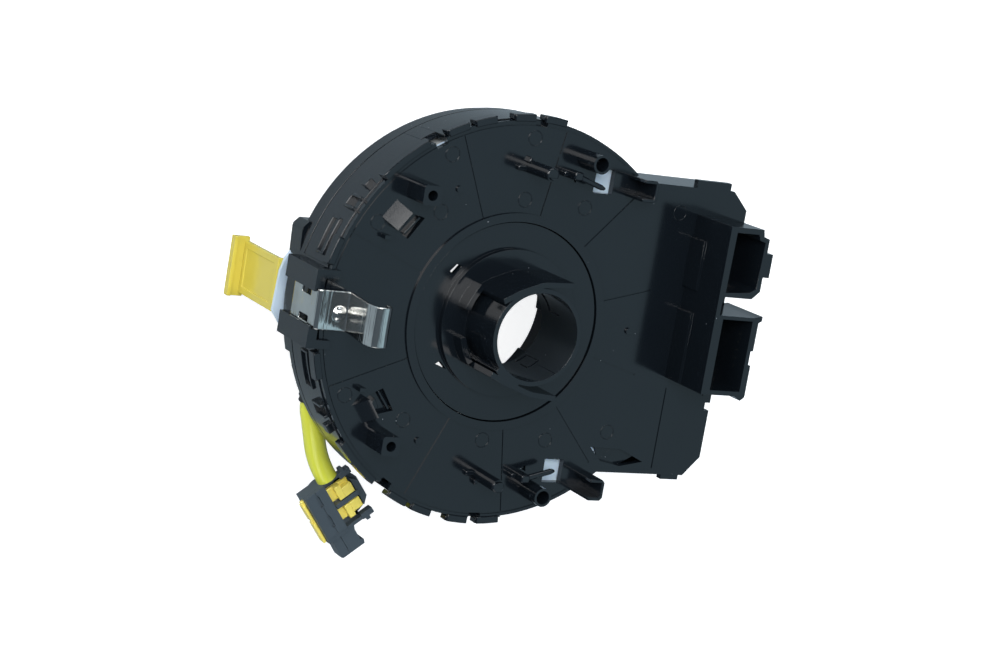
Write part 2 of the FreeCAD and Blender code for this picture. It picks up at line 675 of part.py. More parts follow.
def lead_radii(points):
    """Return the bend radius at each corner from its shorter run and its turn."""
    radii = []
    for i in range(1, len(points) - 1):
        a = points[i] - points[i - 1]
        b = points[i + 1] - points[i]
        radii.append(0.45 * min(a.Length, b.Length) / math.tan(a.getAngle(b) / 2))
    return radii


def make_lead():
    """Return the sleeved lead as a tube of straight runs and tangent arcs."""
    points = lead_points()
    edges = []
    at = points[0]
    for i, radius in enumerate(lead_radii(points)):
        start, middle, end, centre, inward = corner_arc(points[i], points[i + 1], points[i + 2], radius)
        edges += [Part.LineSegment(at, start).toShape(), Part.Arc(start, middle, end).toShape()]
        at = end
    edges.append(Part.LineSegment(at, points[-1]).toShape())
    spine = Part.Wire(edges)
    circle = Part.Wire(Part.makeCircle(LEAD_R, points[0], points[1] - points[0]))
    lead = spine.makePipeShell([circle], True, False)
    section = math.pi * LEAD_R * LEAD_R
    print("lead length %.2f mm, radii %s, volume / (section x length) %.4f"
          % (spine.Length, [round(r, 1) for r in lead_radii(points)], lead.Volume / section / spine.Length))
    return lead


def make_grommet():
    """Return the tapered strain relief in the outlet of the rotor."""
    seat = Part.makeCylinder(4.0, 5.8, V(-5.8, 0, 0), V(1, 0, 0))
    return lead_frame(seat)


def make_plug_body():
    """Return the plug body with its barrel, side walls and lower leg."""
    base = box(0, PLUG_L, 0, PLUG_W, PLUG_FOOT, PLUG_DECK)
    sides = [box(0, 1.0, 0, PLUG_W, PLUG_DECK, -23.4), box(PLUG_L - 1.0, PLUG_L, 0, PLUG_W, PLUG_DECK, -23.4)]
    front = box(0, PLUG_L, PLUG_W - 1.0, PLUG_W, PLUG_DECK, -24.0)
    leg = box(PLUG_L, 22.0, 0.4, 8.4, PLUG_FOOT, -27.4)
    notch = box(PLUG_L + 1.2, 20.8, 1.8, 7.0, -29.6, -27.4)
    barrel = disc(4.8, PLUG_FOOT - 7.0, PLUG_FOOT, 8.0, 7.5)
    mouth = disc(3.4, PLUG_FOOT - 7.0, PLUG_FOOT - 1.0, 8.0, 7.5)
    wing = box(5.4, 12.8, PLUG_W, PLUG_W + 1.5, PLUG_FOOT, -25.0)
    body = joined(base, *sides, front, leg, barrel, wing)
    wells = [disc(1.1, PLUG_FOOT - 1.0, PLUG_FOOT + 3.0, 6.6, 7.5), disc(1.1, PLUG_FOOT - 1.0, PLUG_FOOT + 3.0, 9.4, 7.5)]
    return plug_frame(without(body, notch, mouth, *wells))


def make_plug_cover():
    """Return the rear cover with its slots."""
    z0 = PLUG_DECK + 1.5 + 2 * SLIDE_GAP
    cover = box(1.0 + SNUG_GAP, PLUG_L - 1.0 - SNUG_GAP, 0, 5.4, z0, -23.4)
    top = box(0, PLUG_L, 0, 5.4, -23.4, PLUG_TOP)
    slots = [box(2.4, 5.6, 2.2, 3.0, -22.4, PLUG_TOP), box(8.6, 12.2, 2.2, 3.0, -22.4, PLUG_TOP)]
    groove = box(0, PLUG_L, 4.1, 4.4, -21.9, PLUG_TOP)
    return plug_frame(without(joined(cover, top), groove, *slots))


def make_plug_lock():
    """Return the yellow slide with its edge strip and two L-shaped levers."""
    z0 = PLUG_DECK + SLIDE_GAP
    z1 = z0 + 1.5
    top = -22.0
    plate = box(1.0 + SLIDE_GAP, PLUG_L - 1.0 - SLIDE_GAP, -0.9, 13.6, z0, z1)
    strip_edge = box(1.6, 15.4, -2.0, -SLIDE_GAP, -28.0, z1)
    first = joined(box(2.3, 4.0, 7.8, 13.4, z1, top), box(4.0, 6.6, 11.6, 13.4, z1, top))
    second = joined(box(8.0, 9.8, 8.4, 13.4, z1, top), box(9.8, 12.8, 8.4, 10.2, z1, top))
    return plug_frame(joined(plate, strip_edge, first, second))


def make_plug_contacts():
    """Return the two sleeve contacts in the barrel."""
    z0 = PLUG_FOOT - 4.0
    contacts = [disc(1.1, z0, PLUG_FOOT + 3.0, x, 7.5).cut(disc(0.5, z0, PLUG_FOOT, x, 7.5)) for x in (6.6, 9.4)]
    return plug_frame(Part.makeCompound(contacts))


# spring clip

def make_clip():
    """Return the bent clip with its dimple and lance slots."""
    path = [(CLIP_LEG_X, -13.0), (CLIP_LEG_X, 1.6), (-47.0, 1.6), (-48.2, 15.6), (-47.3, 19.6), (-43.6, 19.4),
            (-43.9, 15.8)]
    points = [V(x, -CLIP_W / 2, z) for x, z in path]
    band = strip(points, [1.2, 0.9, 3.0, 1.4, 1.4], CLIP_T, V(0, 1, 0), CLIP_W)
    dome = Part.makeSphere(1.9, V(-47.4, -0.6, 1.9))
    dome = dome.cut(Part.makeSphere(1.5, V(-47.4, -0.6, 1.9))).common(box(-50, -47.2, -4, 4, 1.5, 6))
    slots = [box(-57, -55, 2.7, 4.3, -8.0, -2.4), box(-57, -55, -4.3, -2.7, -8.0, -2.4)]
    return without(joined(band, dome), *slots)


def main():
    """Build every piece and write one file for each."""
    upper_pins = make_upper_pins()
    lower_pins = make_lower_pins()
    front_pins = make_front_pins()
    cable = make_flat_cable()
    clip = make_clip()
    lock_plate = make_lock_plate()
    nodes = {
        "back_plate": make_back_plate(),
        "outer_case": make_outer_case(clip),
        "connector_block": make_connector_block([upper_pins, lower_pins]),
        "upper_socket_pins": upper_pins,
        "lower_socket_pins": lower_pins,
        "case_cable_block": make_case_block([upper_pins, lower_pins], cable),
        "spring_clip": clip,
        "flat_cable": cable,
        "cable_carrier": make_carrier(),
        "rotor_hub": make_hub(),
        "front_rotor": make_front_rotor(front_pins, lock_plate),
        "rotor_cable_block": make_rotor_block(front_pins),
        "front_socket_pins": front_pins,
        "airbag_lead": make_lead(),
        "lead_grommet": make_grommet(),
        "plug_body": make_plug_body(),
        "plug_cover": make_plug_cover(),
        "plug_lock": make_plug_lock(),
        "plug_contacts": make_plug_contacts(),
        "lock_plate": lock_plate,
        "lock_tab": make_lock_tab(),
    }
    for i in range(4):
        nodes["roller_%d" % (i + 1)] = make_roller(i)
    os.makedirs("parts", exist_ok=True)
    for name, shape in nodes.items():
        shape.exportStep("parts/%s.step" % name)
        facets = sum(len(f.tessellate(0.2)[1]) for f in shape.Faces)
        print("%s solids %d valid %s volume %.1f facets %d"
              % (name, len(shape.Solids), shape.isValid(), shape.Volume, facets))


main()
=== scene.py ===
"""Steering clock spring: finishes, detail pieces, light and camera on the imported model."""
import logging
import math
from dataclasses import dataclass, field
from enum import Enum
from typing import Sequence, Union

import bmesh
import bpy
import numpy as np
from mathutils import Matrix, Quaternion, Vector


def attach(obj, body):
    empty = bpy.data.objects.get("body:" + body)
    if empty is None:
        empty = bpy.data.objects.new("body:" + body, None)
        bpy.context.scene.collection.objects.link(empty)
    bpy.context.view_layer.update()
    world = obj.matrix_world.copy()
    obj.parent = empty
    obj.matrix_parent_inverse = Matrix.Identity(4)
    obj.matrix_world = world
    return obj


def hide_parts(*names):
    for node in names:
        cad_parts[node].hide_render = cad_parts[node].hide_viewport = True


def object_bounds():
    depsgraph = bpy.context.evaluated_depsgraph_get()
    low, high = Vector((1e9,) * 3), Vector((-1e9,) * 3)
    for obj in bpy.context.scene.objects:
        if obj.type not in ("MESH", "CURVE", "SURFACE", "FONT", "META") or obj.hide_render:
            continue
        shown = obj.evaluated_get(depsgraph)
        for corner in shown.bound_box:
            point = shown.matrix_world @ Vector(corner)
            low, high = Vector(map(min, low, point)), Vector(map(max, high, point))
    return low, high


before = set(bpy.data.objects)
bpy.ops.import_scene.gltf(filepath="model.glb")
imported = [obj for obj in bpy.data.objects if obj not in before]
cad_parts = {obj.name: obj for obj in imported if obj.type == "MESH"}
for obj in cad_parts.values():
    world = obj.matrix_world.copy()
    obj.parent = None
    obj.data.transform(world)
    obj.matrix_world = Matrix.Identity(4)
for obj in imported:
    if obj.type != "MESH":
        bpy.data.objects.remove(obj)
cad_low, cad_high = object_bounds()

MM = 0.001

# Mesh limits: distance at which points are one, and angles in degrees below which faces are joined,
# below which an edge is flat, above which it is sharp, and above which it is rounded
MERGE = 2e-6
LEVEL = 0.4
FLAT = 0.5
SHARP = 32.0
ROUNDED = 38.0


# Constants of the finishes: depth of the grain and reach of light under the surface in metres, colours
ORIGIN = (0.0, 0.0, 0.0)
GRAIN_DEPTH = 0.0004
SCATTER = (0.002, 0.002, 0.0012)
SPECK = (0.5, 0.55, 0.6, 1.0)
MIRRORED = (0.3, 0.36, 0.4, 1.0)
WHITE = (1.0, 1.0, 1.0, 1.0)

# Socket types by how many numbers they hold
SOCKETS = {1: "NodeSocketFloat", 3: "NodeSocketVector", 4: "NodeSocketColor"}

LOG = logging.getLogger("clock_spring")
Value = Union[bpy.types.NodeSocket, float, tuple[float, ...]]


class Grain(Enum):
    """How the fine surface of a finish runs."""

    MOULDED = "moulded"
    ROLLED = "rolled"


# Node groups


def feed(node: bpy.types.Node, values: dict[Union[str, int], Value]) -> bpy.types.Node:
    """Link or set the inputs of a node.

    Args:
        node: the node.
        values: name or number of each input, to the socket that is linked to it or the constant set on it.

    Returns:
        The node.
    """
    for key, value in values.items():
        if isinstance(value, bpy.types.NodeSocket):
            node.id_data.links.new(value, node.inputs[key])
        else:
            node.inputs[key].default_value = value
    return node


def add_group(tree: bpy.types.NodeTree, group: bpy.types.NodeTree,
              values: dict[str, Value]) -> bpy.types.Node:
    """Put a shared group into a tree.

    Args:
        tree: node tree.
        group: the shared group.
        values: its inputs, as for feed.

    Returns:
        The group's node.
    """
    node = tree.nodes.new("ShaderNodeGroup")
    node.node_tree = group
    return feed(node, values)


def math_of(tree: bpy.types.NodeTree, operation: str, *values: Value) -> bpy.types.NodeSocket:
    """Add a math node.

    Args:
        tree: node tree.
        operation: what it works out.
        values: its inputs in order.

    Returns:
        Its result.
    """
    node = tree.nodes.new("ShaderNodeMath")
    node.operation = operation
    return feed(node, dict(enumerate(values))).outputs[0]


def mixed(tree: bpy.types.NodeTree, factor: Value, first: Value, second: Value) -> bpy.types.NodeSocket:
    """Mix two colours.

    Args:
        tree: node tree.
        factor: share of the second colour.
        first: colour at factor 0.
        second: colour at factor 1.

    Returns:
        The mixed colour.
    """
    node = tree.nodes.new("ShaderNodeMix")
    node.data_type = "RGBA"
    return feed(node, {"Factor": factor, "A": first, "B": second}).outputs["Result"]


def new_group(name: str, inputs: dict[str, Value], outputs: dict[str, str]) -> bpy.types.NodeTree:
    """Make an empty shader group with its sockets.

    Args:
        name: name of the group.
        inputs: socket name to default value: a number, a vector of three or a colour of four.
        outputs: socket name to socket type.

    Returns:
        The group, with one input node named IN and one output node named OUT.
    """
    group = bpy.data.node_groups.new(name, "ShaderNodeTree")
    for key, value in inputs.items():
        kind = SOCKETS[np.size(value)]
        group.interface.new_socket(name=key, in_out="INPUT", socket_type=kind).default_value = value
    for key, kind in outputs.items():
        group.interface.new_socket(name=key, in_out="OUTPUT", socket_type=kind)
    group.nodes.new("NodeGroupInput").name = "IN"
    group.nodes.new("NodeGroupOutput").name = "OUT"
    return group


def mottle_group() -> bpy.types.NodeTree:
    """Build the group that varies a colour and a roughness slowly over the surface.

    Returns:
        Group that mixes Colour toward Shade by Amount times a noise, and moves Roughness by Spread times
        the noise less a half.
    """
    group = new_group("slow_mottle", {
        "Vector": ORIGIN, "Colour": (0.5, 0.5, 0.5, 1.0), "Shade": (0.4, 0.4, 0.4, 1.0), "Scale": 60.0,
        "Amount": 0.3, "Roughness": 0.3, "Spread": 0.05,
    }, {"Colour": "NodeSocketColor", "Roughness": "NodeSocketFloat"})
    given = group.nodes["IN"].outputs
    noise = feed(group.nodes.new("ShaderNodeTexNoise"),
                 {"Detail": 4.0, "Vector": given["Vector"], "Scale": given["Scale"]}).outputs["Fac"]
    weight = math_of(group, "MULTIPLY", noise, given["Amount"])
    centred = math_of(group, "SUBTRACT", noise, 0.5)
    feed(group.nodes["OUT"], {
        "Colour": mixed(group, weight, given["Colour"], given["Shade"]),
        "Roughness": math_of(group, "MULTIPLY_ADD", centred, given["Spread"], given["Roughness"]),
    })
    return group


def dust_group() -> bpy.types.NodeTree:
    """Build the group that puts out a mask of sparse fine specks.

    Returns:
        Group whose Mask is 1 inside a speck: the distance to the nearest random point is under Size,
        and a second noise leaves most of the specks out.
    """
    group = new_group("fine_dust", {"Vector": ORIGIN, "Scale": 300.0, "Size": 0.08},
                      {"Mask": "NodeSocketFloat"})
    given = group.nodes["IN"].outputs
    cells = feed(group.nodes.new("ShaderNodeTexVoronoi"),
                 {"Vector": given["Vector"], "Scale": given["Scale"]})
    near = math_of(group, "LESS_THAN", cells.outputs["Distance"], given["Size"])
    noise = feed(group.nodes.new("ShaderNodeTexNoise"), {"Scale": 90.0, "Vector": given["Vector"]})
    rare = math_of(group, "GREATER_THAN", noise.outputs["Fac"], 0.6)
    feed(group.nodes["OUT"], {"Mask": math_of(group, "MULTIPLY", near, rare)})
    return group


def grain_group() -> bpy.types.NodeTree:
    """Build the group that puts out the height of a fine surface, stretched along its own axes.

    Returns:
        Group whose Height is a noise read at the place times Stretch.
    """
    group = new_group("fine_grain", {"Vector": ORIGIN, "Stretch": (1.0, 1.0, 1.0), "Scale": 800.0},
                      {"Height": "NodeSocketFloat"})
    given = group.nodes["IN"].outputs
    stretch = group.nodes.new("ShaderNodeVectorMath")
    stretch.operation = "MULTIPLY"
    feed(stretch, {0: given["Vector"], 1: given["Stretch"]})
    noise = feed(group.nodes.new("ShaderNodeTexNoise"),
                 {"Detail": 3.0, "Vector": stretch.outputs["Vector"], "Scale": given["Scale"]})
    feed(group.nodes["OUT"], {"Height": noise.outputs["Fac"]})
    return group


# Finishes


@dataclass(frozen=True)
class Finish:
    """One surface finish: colours, gloss and grain.

    Colours are linear. `scale` is the size of the mottling in waves per metre, and `glow` is light that
    only the camera sees.
    """

    name: str
    colour: tuple[float, float, float]
    shade: tuple[float, float, float]
    roughness: float
    spread: float = 0.04
    metallic: float = 0.0
    coat: float = 0.0
    coat_roughness: float = 0.05
    subsurface: float = 0.0
    mottle: float = 0.4
    scale: float = 70.0
    dust: float = 0.0
    grain: Grain = Grain.MOULDED
    grain_scale: float = 900.0
    grain_height: float = 0.02
    glow: float = 0.0

    def stretch(self) -> tuple[float, float, float]:
        """Return how far the grain is stretched along X, Y and Z."""
        return (9.0, 0.25, 9.0) if self.grain is Grain.ROLLED else (1.0, 1.0, 1.0)

    def build(self, groups: "Groups") -> bpy.types.Material:
        """Build the material.

        Args:
            groups: the shared node groups.

        Returns:
            The finished material.
        """
        material = bpy.data.materials.new(self.name)
        material.use_nodes = True
        tree = material.node_tree
        place = tree.nodes.new("ShaderNodeTexCoord").outputs["Object"]
        mottle = add_group(tree, groups.mottle, {
            "Vector": place, "Colour": (*self.colour, 1.0), "Shade": (*self.shade, 1.0), "Scale": self.scale,
            "Amount": self.mottle, "Roughness": self.roughness, "Spread": self.spread,
        })
        grain = add_group(tree, groups.grain, {
            "Vector": place, "Stretch": self.stretch(), "Scale": self.grain_scale,
        })
        bump = feed(tree.nodes.new("ShaderNodeBump"), {
            "Strength": self.grain_height, "Distance": GRAIN_DEPTH, "Height": grain.outputs["Height"],
        })
        colour = mottle.outputs["Colour"]
        if self.dust > 0:
            colour = self.dusted(tree, groups, place, colour)
        shader = feed(tree.nodes["Principled BSDF"], {
            "Base Color": colour, "Roughness": mottle.outputs["Roughness"], "Normal": bump.outputs["Normal"],
            "Metallic": self.metallic, "Coat Weight": self.coat, "Coat Roughness": self.coat_roughness,
            "Subsurface Weight": self.subsurface,
        })
        if self.subsurface > 0:
            feed(shader, {"Subsurface Radius": SCATTER, "Subsurface Scale": 1.0})
        if self.glow > 0:
            self.add_glow(tree, colour, shader)
        return material

    def add_glow(self, tree: bpy.types.NodeTree, colour: bpy.types.NodeSocket,
                 shader: bpy.types.Node) -> None:
        """Let the surface glow for the camera only, and darken it in mirrored rays.

        Args:
            tree: node tree of the material.
            colour: colour of the surface.
            shader: the surface shader.
        """
        ray = tree.nodes.new("ShaderNodeLightPath").outputs
        feed(shader, {
            "Base Color": mixed(tree, ray["Is Glossy Ray"], colour, MIRRORED),
            "Emission Color": WHITE,
            "Emission Strength": math_of(tree, "MULTIPLY", ray["Is Camera Ray"], self.glow),
        })

    def dusted(self, tree: bpy.types.NodeTree, groups: "Groups", place: bpy.types.NodeSocket,
               colour: bpy.types.NodeSocket) -> bpy.types.NodeSocket:
        """Lay fine pale specks over a colour.

        Args:
            tree: node tree of the material.
            groups: the shared node groups.
            place: object coordinates.
            colour: colour under the specks.

        Returns:
            The colour with specks.
        """
        dust = add_group(tree, groups.dust, {"Vector": place, "Scale": 420.0, "Size": 0.07})
        return mixed(tree, math_of(tree, "MULTIPLY", dust.outputs["Mask"], self.dust), colour, SPECK)


@dataclass
class Groups:
    """The node groups that the finishes share."""

    mottle: bpy.types.NodeTree = field(default_factory=mottle_group)
    dust: bpy.types.NodeTree = field(default_factory=dust_group)
    grain: bpy.types.NodeTree = field(default_factory=grain_group)


BLACK_GLOSS = Finish("black_gloss", (0.0045, 0.0068, 0.0098), (0.008, 0.0112, 0.0148), 0.13, spread=0.05,
                     dust=0.3, grain_scale=260.0, grain_height=0.014)
DARK_PLASTIC = Finish("dark_plastic", (0.012, 0.013, 0.016), (0.02, 0.021, 0.024), 0.35)
PALE_PLASTIC = Finish("pale_plastic", (0.55, 0.68, 0.8), (0.62, 0.74, 0.86), 0.35, subsurface=0.1, mottle=0.3)
SPRING_STEEL = Finish("spring_steel", (0.82, 0.83, 0.8), (0.3, 0.29, 0.28), 0.12, spread=0.2, metallic=1.0,
                      mottle=0.8, scale=150.0, grain=Grain.ROLLED, grain_scale=150.0, grain_height=0.5)
CONTACT_METAL = Finish("contact", (0.78, 0.72, 0.52), (0.7, 0.62, 0.4), 0.22, metallic=1.0)
CABLE_FILM = Finish("cable_film", (0.5, 0.57, 0.62), (0.6, 0.5, 0.36), 0.25)
SLEEVE_YELLOW = Finish("yellow_sleeve", (0.72, 0.76, 0.06), (0.8, 0.82, 0.1), 0.3, coat=0.25, subsurface=0.12,
                       grain_scale=500.0, grain_height=0.05)
DARK_RUBBER = Finish("dark_rubber", (0.012, 0.013, 0.014), (0.02, 0.021, 0.022), 0.55)
SLATE_PLASTIC = Finish("slate_plastic", (0.05, 0.068, 0.085), (0.08, 0.1, 0.12), 0.42)
LOCK_YELLOW = Finish("yellow_lock", (1.0, 0.8, 0.12), (1.0, 0.88, 0.26), 0.32, subsurface=0.15)
TAB_YELLOW = Finish("yellow_tab", (0.66, 0.55, 0.075), (0.74, 0.63, 0.13), 0.26, coat=0.3, subsurface=0.15)
WHITE_FLOOR = Finish("white_floor", (0.72, 0.73, 0.74), (0.74, 0.75, 0.76), 0.6, mottle=0.2, scale=4.0,
                     glow=0.75)


# Mesh helpers


@dataclass(frozen=True)
class Block:
    """One upright closed block over an outline, in millimetres."""

    outline: np.ndarray
    low: float
    high: float

    def mirrored(self) -> "Block":
        """Return the block on the other side of the X axis."""
        return Block(self.outline * (1.0, -1.0), self.low, self.high)


def rect(x0: float, x1: float, y0: float, y1: float, low: float, high: float) -> Block:
    """Return a square-cornered block between two corners."""
    return Block(np.array([(x0, y0), (x1, y0), (x1, y1), (x0, y1)]), low, high)


def poly(points: list[tuple[float, float]], low: float, high: float) -> Block:
    """Return a block over a polygon."""
    return Block(np.array(points), low, high)


def arc(radius: float, first: float, last: float, x: float = 0.0, y: float = 0.0,
        step: float = 1.5) -> np.ndarray:
    """Return points on an arc: the centre plus the radius along each angle, in degrees."""
    turn = np.radians(np.linspace(first, last, max(2, math.ceil(abs(last - first) / step) + 1)))
    return np.stack([x + radius * np.cos(turn), y + radius * np.sin(turn)], axis=-1)


def band(radius: float, inner: float, first: float, last: float, low: float, high: float) -> Block:
    """Return a block over the part of a ring between two angles, in degrees."""
    return Block(np.concatenate([arc(radius, first, last), arc(inner, last, first)]), low, high)


def pillar(radius: float, x: float, y: float, low: float, high: float) -> Block:
    """Return a round block."""
    return Block(arc(radius, 0.0, 350.0, x, y, 10.0), low, high)


def both_sides(blocks: list[Block]) -> list[Block]:
    """Return the blocks with their mirror images across the X axis."""
    return blocks + [block.mirrored() for block in blocks]


def link(name: str, data: bpy.types.ID) -> bpy.types.Object:
    """Make an object of a mesh, curve, lamp or camera and put it in the scene.

    Args:
        name: object name.
        data: what it shows.

    Returns:
        The object.
    """
    piece = bpy.data.objects.new(name, data)
    bpy.context.scene.collection.objects.link(piece)
    return piece


def evaluated_mesh(piece: bpy.types.Object) -> bpy.types.Mesh:
    """Work out a new mesh of a piece with its modifiers.

    Args:
        piece: the piece.

    Returns:
        The mesh.
    """
    bpy.context.view_layer.update()
    graph = bpy.context.evaluated_depsgraph_get()
    return bpy.data.meshes.new_from_object(piece.evaluated_get(graph))


def block_mesh(name: str, blocks: Sequence[Block]) -> bpy.types.Mesh:
    """Make one mesh of closed blocks.

    The outline of each block is turned anticlockwise by the sign of its area, half the sum of
    x(i) y(i+1) - x(i+1) y(i), so that all faces point outward. Its points at the low height come
    first, then those at the high one; a side face joins points i and i + 1 of both.

    Args:
        name: mesh name.
        blocks: the blocks, millimetres.

    Returns:
        The mesh, metres.
    """
    points, faces, first = [], [], 0
    for block in blocks:
        outline = block.outline
        following = np.roll(outline, -1, axis=0)
        if np.sum(outline[:, 0] * following[:, 1] - following[:, 0] * outline[:, 1]) < 0:
            outline = outline[::-1]
        count = len(outline)
        points += [np.column_stack([outline, np.full(count, z)]) for z in (block.low, block.high)]
        low = first + np.arange(count)
        after = np.roll(low, -1)
        faces += [(low + count).tolist(), low[::-1].tolist()]
        faces += np.stack([low, after, after + count, low + count], axis=-1).tolist()
        first += 2 * count
    mesh = bpy.data.meshes.new(name)
    mesh.from_pydata((np.concatenate(points) * MM).tolist(), [], faces)
    return mesh


def carve(piece: bpy.types.Object, blocks: Sequence[Block]) -> None:
    """Cut blocks out of a piece.

    Args:
        piece: the piece; its mesh is exchanged for the cut one.
        blocks: what is cut away, millimetres.
    """
    cutter = link("cutter", block_mesh("cutter", blocks))
    cut = piece.modifiers.new("cut", "BOOLEAN")
    cut.operation = "DIFFERENCE"
    cut.solver = "EXACT"
    cut.use_self = True
    cut.object = cutter
    mesh = evaluated_mesh(piece)
    piece.modifiers.remove(cut)
    piece.data = mesh
    bpy.data.objects.remove(cutter)


def soften(piece: bpy.types.Object, material: bpy.types.Material, width: float) -> None:
    """Give a piece one finish, shade its curved faces smooth and round its sharp edges.

    A face is curved if any of its edges bends between the angles FLAT and SHARP.

    Args:
        piece: the piece.
        material: its finish.
        width: width of the rounding, metres.
    """
    mesh = piece.data
    mesh.materials.clear()
    mesh.materials.append(material)
    mesh.polygons.foreach_set("material_index", np.zeros(len(mesh.polygons), dtype=np.int32))
    work = bmesh.new()
    work.from_mesh(mesh)
    low, high = math.radians(FLAT), math.radians(SHARP)
    for face in work.faces:
        face.smooth = any(low < edge.calc_face_angle(0.0) < high for edge in face.edges)
    work.to_mesh(mesh)
    work.free()
    mesh.set_sharp_from_angle(angle=high)
    bevel = piece.modifiers.new("edge", "BEVEL")
    bevel.width = width
    bevel.segments = 2
    bevel.limit_method = "ANGLE"
    bevel.angle_limit = math.radians(ROUNDED)
    level = piece.modifiers.new("level", "WEIGHTED_NORMAL")
    level.keep_sharp = True


def block_piece(name: str, blocks: list[Block], material: bpy.types.Material, width: float,
                body: str, cuts: Sequence[Block] = ()) -> bpy.types.Object:
    """Make a piece of blocks with rounded edges.

    Args:
        name: object name.
        blocks: the blocks, millimetres.
        material: finish of the piece.
        width: width of the edge rounding, metres.
        body: CAD body that carries it.
        cuts: blocks that are cut out of it.

    Returns:
        The piece.
    """
    piece = link(name, block_mesh(name, blocks))
    if cuts:
        carve(piece, cuts)
    soften(piece, material, width)
    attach(piece, body)
    LOG.info("made %s", name)
    return piece


def mesh_piece(name: str, points: np.ndarray, faces: np.ndarray,
               material: bpy.types.Material) -> bpy.types.Object:
    """Make a smooth object from arrays of points and four-cornered faces.

    Args:
        name: object name.
        points: array (n, 3), metres.
        faces: array (m, 4) of point numbers.
        material: finish of the piece.

    Returns:
        The object, at the origin.
    """
    mesh = bpy.data.meshes.new(name)
    mesh.from_pydata(points.tolist(), [], faces.tolist())
    mesh.polygons.foreach_set("use_smooth", np.full(len(faces), True))
    mesh.materials.append(material)
    return link(name, mesh)


def grid_faces(rows: int, columns: int, wrap_rows: bool, wrap_columns: bool) -> np.ndarray:
    """Number the faces of a grid of points.

    Face (i, j) joins the points (i, j), (i + 1, j), (i + 1, j + 1) and (i, j + 1), with the last row or
    column joined to the first where it wraps.

    Args:
        rows: number of rows of points.
        columns: number of columns of points.
        wrap_rows: join the last row to the first.
        wrap_columns: join the last column to the first.

    Returns:
        Array (m, 4) of point numbers.
    """
    i = np.arange(rows if wrap_rows else rows - 1)
    j = np.arange(columns if wrap_columns else columns - 1)
    a, b = np.meshgrid(i, j, indexing="ij")
    a2, b2 = (a + 1) % rows, (b + 1) % columns
    corners = [a * columns + b, a2 * columns + b, a2 * columns + b2, a * columns + b2]
    return np.stack(corners, axis=-1).reshape(-1, 4)


def softened_node(node: str, material: bpy.types.Material, width: float, body: str,
                  cuts: Sequence[Block] = ()) -> None:
    """Stand a copy of a CAD node with rounded edges in its place.

    Args:
        node: CAD node.
        material: its finish.
        width: width of the edge rounding, metres.
        body: CAD body that carries it.
        cuts: blocks that are cut out of it, millimetres.
    """
    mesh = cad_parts[node].data.copy()
    work = bmesh.new()
    work.from_mesh(mesh)
    bmesh.ops.remove_doubles(work, verts=work.verts, dist=MERGE)
    work.to_mesh(mesh)
    work.free()
    piece = link(node + "_softened", mesh)
    if cuts:
        carve(piece, cuts)
    work = bmesh.new()
    work.from_mesh(piece.data)
    bmesh.ops.dissolve_limit(work, angle_limit=math.radians(LEVEL), verts=work.verts, edges=work.edges)
    work.to_mesh(piece.data)
    work.free()
    soften(piece, material, width)
    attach(piece, body)
    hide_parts(node)
    LOG.info("softened %s", node)


def paint_node(node: str, material: bpy.types.Material) -> None:
    """Give a CAD node its finish.

    Args:
        node: CAD node.
        material: its finish.
    """
    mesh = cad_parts[node].data
    mesh.materials.clear()
    mesh.materials.append(material)
    LOG.info("painted %s", node)


def rounded_path(corners: list[tuple[float, float]], radii: tuple[float, ...], steps: int = 8) -> np.ndarray:
    """Return a path with a round at each inner corner.

    At a corner with half-angle h between its two sides the round starts radius / tan h away on each
    side. Its centre lies radius / sin h away along the line that halves the corner.

    Args:
        corners: corner points.
        radii: radius at each inner corner.
        steps: stretches in each round.

    Returns:
        Array (n, 2).
    """
    points = np.array(corners)
    path = [points[:1]]
    for before, corner, after, radius in zip(points[:-2], points[1:-1], points[2:], radii):
        a = (before - corner) / np.linalg.norm(before - corner)
        b = (after - corner) / np.linalg.norm(after - corner)
        half = 0.5 * math.acos(float(np.clip(a @ b, -1.0, 1.0)))
        middle = (a + b) / np.linalg.norm(a + b)
        centre = corner + middle * radius / math.sin(half)
        start = corner + a * radius / math.tan(half) - centre
        end = corner + b * radius / math.tan(half) - centre
        sweep = math.acos(float(np.clip(start @ end / radius ** 2, -1.0, 1.0)))
        t = np.linspace(0.0, 1.0, steps + 1)[:, None]
        path.append(centre + (np.sin((1 - t) * sweep) * start + np.sin(t * sweep) * end) / math.sin(sweep))
    path.append(points[-1:])
    return np.concatenate(path)


def divided(path: np.ndarray, longest: float) -> np.ndarray:
    """Return a path with its long runs divided evenly.

    Args:
        path: array (n, k).
        longest: longest run that is left.

    Returns:
        Array (m, k).
    """
    runs = [path[:1]]
    for a, b in zip(path[:-1], path[1:]):
        count = max(1, math.ceil(float(np.linalg.norm(b - a)) / longest))
        t = np.linspace(0.0, 1.0, count + 1)[1:, None]
        runs.append(a + (b - a) * t)
    return np.concatenate(runs)


# Assemblies


